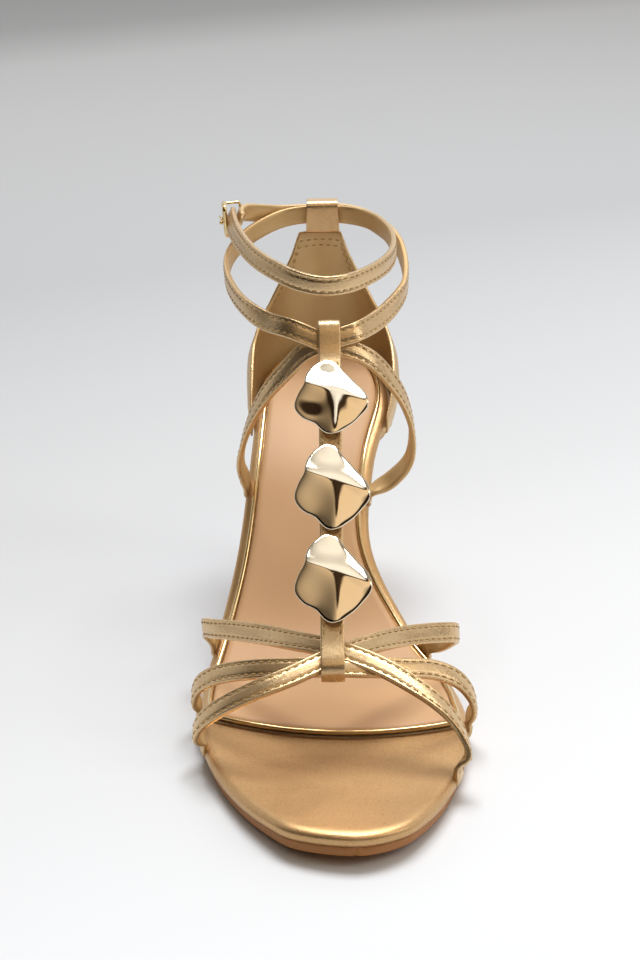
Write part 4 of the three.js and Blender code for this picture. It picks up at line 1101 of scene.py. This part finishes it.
def on_ankle(row):
    """A point around the ankle."""
    return Vector((
        row["across"] * ankle_width / 2,
        seat_back.y + ankle_back - row["ahead"] * ankle_depth,
        seat_back.z + row["rise"] * ankle_height,
    ))


ankle_mesh = bmesh.new()
ankle_thread = bmesh.new()
ankle_halves = [(medial_arch, "medial", inner_ankle), (lateral_arch, "lateral", outer_ankle)]
for arch, side, ring in ankle_halves:
    route = tucked_foot(arch["foot"], side)[::-1]
    route += [free_point(on_foot(row)) for row in arch["line"]]
    route += [free_point(on_ankle(row), row["lean"]) for row in ring]
    sewn_strap(ankle_mesh, ankle_thread, route, 2)
finish_piece("ankle_straps_sewn", ankle_mesh, lined_leather, ["ankle_straps"])
finish_piece("ankle_strap_stitches", ankle_thread, [stitch_thread])

# T-strap
# One narrow band of the gilt leather. Its lower end is folded round the crossed toe straps and
# its upper end round the crossed ankle straps, and both folds are sewn down.
t_strap_width = 7
t_strap_thickness = 1.4
t_strap_bow = 1.3
t_station_step = 0.9
toe_loop_length = 15
ankle_loop_length = 15.5
ankle_loop_lift = -0.4


def crossing_of(rows):
    """Middle and face of a crossing, from the routes' points there."""
    middle = sum((on_foot(row) for row in rows), Vector()) / len(rows)
    face = face_at(middle)
    face.x = 0
    return middle, face.normalized()


def fold_of(crossing, length, lift, layers):
    """A folded end: its centre, directions, the reach of its flat part and its middle radius."""
    middle, face = crossing
    up_foot = -Vector((1, 0, 0)).cross(face)
    outer = layers * strap_thickness / 2 + fit_gap + t_strap_thickness
    return {
        "centre": middle + up_foot * lift, "face": face, "up": up_foot,
        "reach": length / 2 - outer, "radius": outer - t_strap_thickness / 2,
    }


def fold_point(fold, up, out, face):
    """A point of a fold and its face, from its centre's directions."""
    at = fold["centre"] + fold["up"] * up + fold["face"] * out
    return at, (fold["up"] * face[0] + fold["face"] * face[1]).normalized()


def fold_route(fold, way):
    """Round a fold from its under leaf to its upper one, away from the T-strap."""
    reach, radius = fold["reach"], fold["radius"]
    route = [fold_point(fold, -way * reach, -radius, (0, -1))]
    route.append(fold_point(fold, 0, -radius, (0, -1)))
    for k in range(7):
        turn = math.pi * k / 6
        up, out = math.sin(turn), -math.cos(turn)
        route.append(fold_point(fold, way * (reach + radius * up), radius * out, (way * up, out)))
    return route


toe_crossing = crossing_of([
    next(row for row in strap["line"] if row["across"] > 0) for strap in toe_straps
])
ankle_crossing = crossing_of([medial_arch["line"][-1], lateral_arch["line"][-1]])
toe_fold = fold_of(toe_crossing, toe_loop_length, 0, 3)
ankle_fold = fold_of(ankle_crossing, ankle_loop_length, ankle_loop_lift, 2)
t_start, _ = fold_point(toe_fold, toe_fold["reach"], toe_fold["radius"], (0, 1))
t_end, _ = fold_point(ankle_fold, -ankle_fold["reach"], ankle_fold["radius"], (0, 1))
t_up = (t_end - t_start).normalized()
t_face = t_up.cross(Vector((-1, 0, 0))).normalized()
t_bows = [(0.0, 0), (0.25, 0.1), (0.5, 0.5), (0.75, 1), (0.88, 0.75), (1.0, 0)]
t_line = [
    (t_start.lerp(t_end, share) + t_face * bow * t_strap_bow, t_face) for share, bow in t_bows
]
t_route = fold_route(toe_fold, -1) + t_line + fold_route(ankle_fold, 1)[::-1]
t_stations = stations_of(t_route, t_station_step)
t_ring = strap_section(t_strap_width, t_strap_thickness, 0.0)
t_mesh = sweep(t_stations, t_ring)
finish_piece("t_strap_folded", t_mesh, lined_leather, ["t_strap"])

t_thread = bmesh.new()
t_seams = stations_of(t_line, t_station_step)[2:-2]
for side in (-1, 1):
    line = edge_line(t_seams, side * (t_strap_width / 2 - 1), t_strap_thickness / 2 - 0.06)
    sew(t_thread, line, pitch=2.2, length=1.6)
finish_piece("t_strap_stitches", t_thread, [stitch_thread])

# Ornaments
# Three cast zinc plates, wavy and mirror polished, with a pale gold plating. Each is riveted to
# the T-strap through its back.
ornament_size = 25
ornament_thickness = 1.5
ornament_ridge = 1.6
ornament_ridge_width = 4.5
ornament_crease = 1.4
ornament_places = table("at height", (0.831, 0.94), (0.516, 1), (0.208, 1))
ornament_outline = [
    0.86, 0.72, 0.70, 0.80, 1.07, 0.98, 0.82, 0.69, 0.78, 0.93, 0.95, 0.94, 1.21, 1.07, 0.98, 0.99,
]
ornament_ridges = [((-0.64, 0.32), (0.88, -0.24)), ((0.16, -0.08), (0.12, -1.2))]

# Pale gold plating: thin champagne gold over bright nickel on a polished casting, a clean mirror
# with faint waves left by the buffing wheel.
pale_gold = finish_of(
    "pale_gold_plating", ("#E9D6B8", "#F2E4CC"), (70.0, 1.0), {"Metallic": 1.0},
    grain=(70.0, 1.0, 0.12, 0.0006), polish=(400.0, 3.0, 0.03, 0.08),
)

ornament_turns = 96
ornament_rings = 14
ornament_round = 4
ornament_reach = closed_curve(ornament_outline, ornament_turns // len(ornament_outline))
ornament_path = [(k / ornament_rings, 1.0) for k in range(ornament_rings + 1)]
ornament_path += [
    (1 + 0.02 * math.sin(math.pi * k / ornament_round), math.cos(math.pi * k / ornament_round))
    for k in range(1, ornament_round)
]
ornament_path += [(1 - k / ornament_rings, -1.0) for k in range(ornament_rings + 1)]
t_curve = smooth_through([at for at, _ in t_line])
t_steps = 100
t_places = [k / t_steps * (len(t_line) - 1) for k in range(t_steps + 1)]
t_gone = [0.0]
for before, after in zip(t_places, t_places[1:]):
    t_gone.append(t_gone[-1] + (t_curve(after) - t_curve(before)).length)


def t_at(share):
    """Point and run of the T-strap at a share of its length."""
    wanted = share * t_gone[-1]
    i = next(k for k in range(1, t_steps + 1) if t_gone[k] >= wanted)
    part = (wanted - t_gone[i - 1]) / (t_gone[i] - t_gone[i - 1])
    place = t_places[i - 1] + part * (t_places[i] - t_places[i - 1])
    return t_curve(place), (t_curve(place + 0.01) - t_curve(place - 0.01)).normalized()


def ridge_at(point):
    """How high the ridges lift a plate at a point of it. Where they meet they blend."""
    flat = 1.0
    for start, end in ornament_ridges:
        start, end = Vector(start) * ornament_size / 2, Vector(end) * ornament_size / 2
        run = end - start
        share = min(max((point - start).dot(run) / run.length_squared, 0.0), 1.0)
        away = (start + run * share - point).length
        flat *= 1 - math.exp(-(away / ornament_ridge_width) ** ornament_crease)
    return ornament_ridge * (1 - flat)


for number, spot in enumerate(ornament_places, 1):
    place, up = t_at(spot["at"])
    height = spot["height"]
    face = up.cross(Vector((-1, 0, 0))).normalized()
    side = up.cross(face)
    seat = t_strap_thickness / 2 + fit_gap + ornament_thickness / 2

    def ornament_point(column, row):
        """A point on the plate: out from its middle, over the rounded rim and back underneath."""
        share, layer = ornament_path[row]
        column %= ornament_turns
        angle = 2 * math.pi * column / ornament_turns
        reach = ornament_size / 2 * share * ornament_reach[column]
        flat = Vector((math.cos(angle), math.sin(angle))) * reach
        rim = 1 - 0.5 * min(share, 1) ** 6
        above = seat + ridge_at(flat) + layer * rim * ornament_thickness / 2
        return place + side * flat.x + up * flat.y * height + face * above

    plate = wrap_grid(ornament_turns, len(ornament_path) - 1, ornament_point)
    finish_piece(f"ornament_{number}_plate", plate, [pale_gold], [f"ornament_{number}"])

# Heel loop
# A wide band of gilt leather that carries the ankle straps. It is gathered in soft pleats, goes
# over them and is sewn down inside and outside the counter.
heel_loop_width = 11
heel_loop_wall = 1.4
heel_loop_lap = 12
heel_loop_aside = 1
loop_straps = on_ankle({"ahead": -0.014, "across": 0, "rise": 1})
loop_edge = seat_back.z + counter_height
loop_room = ankle_depth * 0.014 + strap_thickness / 2 + fit_gap
loop_inner = loop_straps.y - loop_room - heel_loop_wall / 2
loop_outer = max(
    loop_straps.y + loop_room, seat_back.y + counter_clearance + counter_bulge + counter_wall + fit_gap,
) + heel_loop_wall / 2
loop_crown = loop_straps.z + strap_width / 2 + fit_gap + heel_loop_wall / 2
loop_bend = 1.1
loop_cut = loop_bend * 0.3
loop_line = [
    (loop_inner, loop_edge + heel_loop_wall), (loop_inner, loop_crown - loop_bend),
    (loop_inner + loop_cut, loop_crown - loop_cut),
    (loop_inner + loop_bend, loop_crown),
    ((loop_inner + loop_outer) / 2, loop_crown + 0.05),
    (loop_outer - loop_bend, loop_crown), (loop_outer - loop_cut, loop_crown - loop_cut),
    (loop_outer, loop_crown - loop_bend), (loop_outer, loop_edge - heel_loop_lap),
]
loop_faces = [(-1, 0), (-1, 0), (-1, 1), (0, 1), (0, 1), (0, 1), (1, 1), (1, 0), (1, 0)]
loop_route = [
    (Vector((0, y, z)), Vector((0, *face)).normalized()) for (y, z), face in zip(loop_line, loop_faces)
]
loop_stations = stations_of(loop_route, 0.7)
loop_columns = 44
loop_ring = [(2 * k / loop_columns - 1, 1.0) for k in range(loop_columns + 1)]
loop_ring += [(1.0, 0.0), *((-across, -1.0) for across, _ in loop_ring), (-1.0, 0.0)]


def heel_loop_point(column, row):
    """A point on the heel loop, with its pleats deepest at the hems."""
    at, run, face = loop_stations[column]
    across, layer = loop_ring[row % len(loop_ring)]
    hem = (2 * column / (len(loop_stations) - 1) - 1) ** 2
    width = heel_loop_width * (0.96 + 0.12 * hem) / 2
    pleat = 0.12 * hem * math.cos(5 * across + 0.6) if layer > 0 else 0.0
    aside = Vector((heel_loop_aside + across * width, 0, 0))
    return at + aside + face * (layer * heel_loop_wall / 2 + pleat)


heel_loop = wrap_grid(len(loop_stations) - 1, len(loop_ring), heel_loop_point)
finish_piece("heel_loop_gathered", heel_loop, [gilt_leather], ["heel_loop"])

# Buckle and keeper
# A bent-wire buckle with a rolled prong, and a wire keeper for the strap's free end. They are
# brass, polished and gold plated.
buckle_width = 11.5
buckle_length = 9
buckle_bar = 1.5
prong_diameter = 1.3
keeper_width = 1.6
buckle_at = 0.3
corner_steps = 6
wire_sides = 10
buckle_from = on_ankle(inner_ankle[-2])
buckle_to = on_ankle(inner_ankle[-1])
buckle_along = (buckle_to - buckle_from).normalized()
buckle_face = face_at(buckle_to)
buckle_face = (buckle_face - buckle_along * buckle_face.dot(buckle_along)).normalized()
buckle_across = buckle_face.cross(buckle_along)
buckle_middle = buckle_from.lerp(buckle_to, 1 - buckle_at)


def on_buckle(ahead, across, lift):
    """A point at the buckle, in the strap's own directions."""
    return buckle_middle + buckle_along * ahead + buckle_across * across + buckle_face * lift


def rounded_frame(length, width, corner):
    """Middle line of a rectangular frame with round corners, as (ahead, across, outward angle)."""
    points = []
    for number in range(4):
        start = math.pi / 2 * number
        middle_x = (length / 2 - corner) * (1 if number in (0, 3) else -1)
        middle_y = (width / 2 - corner) * (1 if number in (0, 1) else -1)
        for k in range(corner_steps + 1):
            turn = start + math.pi / 2 * k / corner_steps
            points.append((middle_x + corner * math.cos(turn), middle_y + corner * math.sin(turn), turn))
    return points


def wire_frame(line, radius, place_of):
    """A closed bent wire round a frame's middle line."""
    def point(column, row):
        x, y, turn = line[column % len(line)]
        angle = 2 * math.pi * (row % wire_sides) / wire_sides
        out = radius * math.cos(angle)
        return place_of(x + out * math.cos(turn), y + out * math.sin(turn), radius * math.sin(angle))

    return wrap_grid(len(line), wire_sides, point)


# Gold plating: a warm yellow gold plate on polished brass, bright and a little softer than glass.
gold_plating = finish_of(
    "gold_plating", ("#DDBB78", "#EDD7A6"), (600.0, 2.0), {"Metallic": 1.0},
    polish=(600.0, 2.0, 0.08, 0.16),
)

frame_lift = strap_thickness / 2 + fit_gap + buckle_bar / 2
frame_line = rounded_frame(buckle_length - buckle_bar, buckle_width - buckle_bar, buckle_bar * 0.9)
buckle = wire_frame(frame_line, buckle_bar / 2, lambda x, y, z: on_buckle(x, y, frame_lift + z))
finish_piece("buckle_frame_polished", buckle, [gold_plating], ["buckle_frame"])

prong_lift = strap_thickness / 2 + 2 * fit_gap + buckle_bar + prong_diameter / 2
prong_rows = 16
prong_sides = 12


def prong_point(column, row):
    """A point on the prong, which thins towards its tip and lies across the frame."""
    share = column / prong_rows
    radius = prong_diameter / 2 * (1 - 0.3 * share) * min(1.0, 4 * math.sqrt(max(share * (1 - share), 0)))
    turn = 2 * math.pi * (row % prong_sides) / prong_sides
    dip = 0.5 * math.sin(math.pi * share)
    return on_buckle(
        buckle_length * (share - 0.5), radius * math.cos(turn), prong_lift - dip + radius * math.sin(turn),
    )


prong = wrap_grid(prong_rows, prong_sides, prong_point)
finish_piece("buckle_prong_polished", prong, [gold_plating], ["buckle_prong"])

keeper_ahead = buckle_length / 2 + keeper_width + 1
keeper_wall = 1
keeper_depth = 2 * strap_thickness + 3 * fit_gap + keeper_wall
keeper_span = strap_width + 2 * fit_gap + keeper_wall
keeper_line = rounded_frame(keeper_depth, keeper_span, keeper_wall)
keeper = wire_frame(keeper_line, keeper_wall / 2, lambda x, y, z: on_buckle(
    keeper_ahead - keeper_width / 2 + z * keeper_width / keeper_wall, y, x - strap_thickness / 2,
))
finish_piece("strap_keeper_bent", keeper, [gold_plating], ["strap_keeper"])
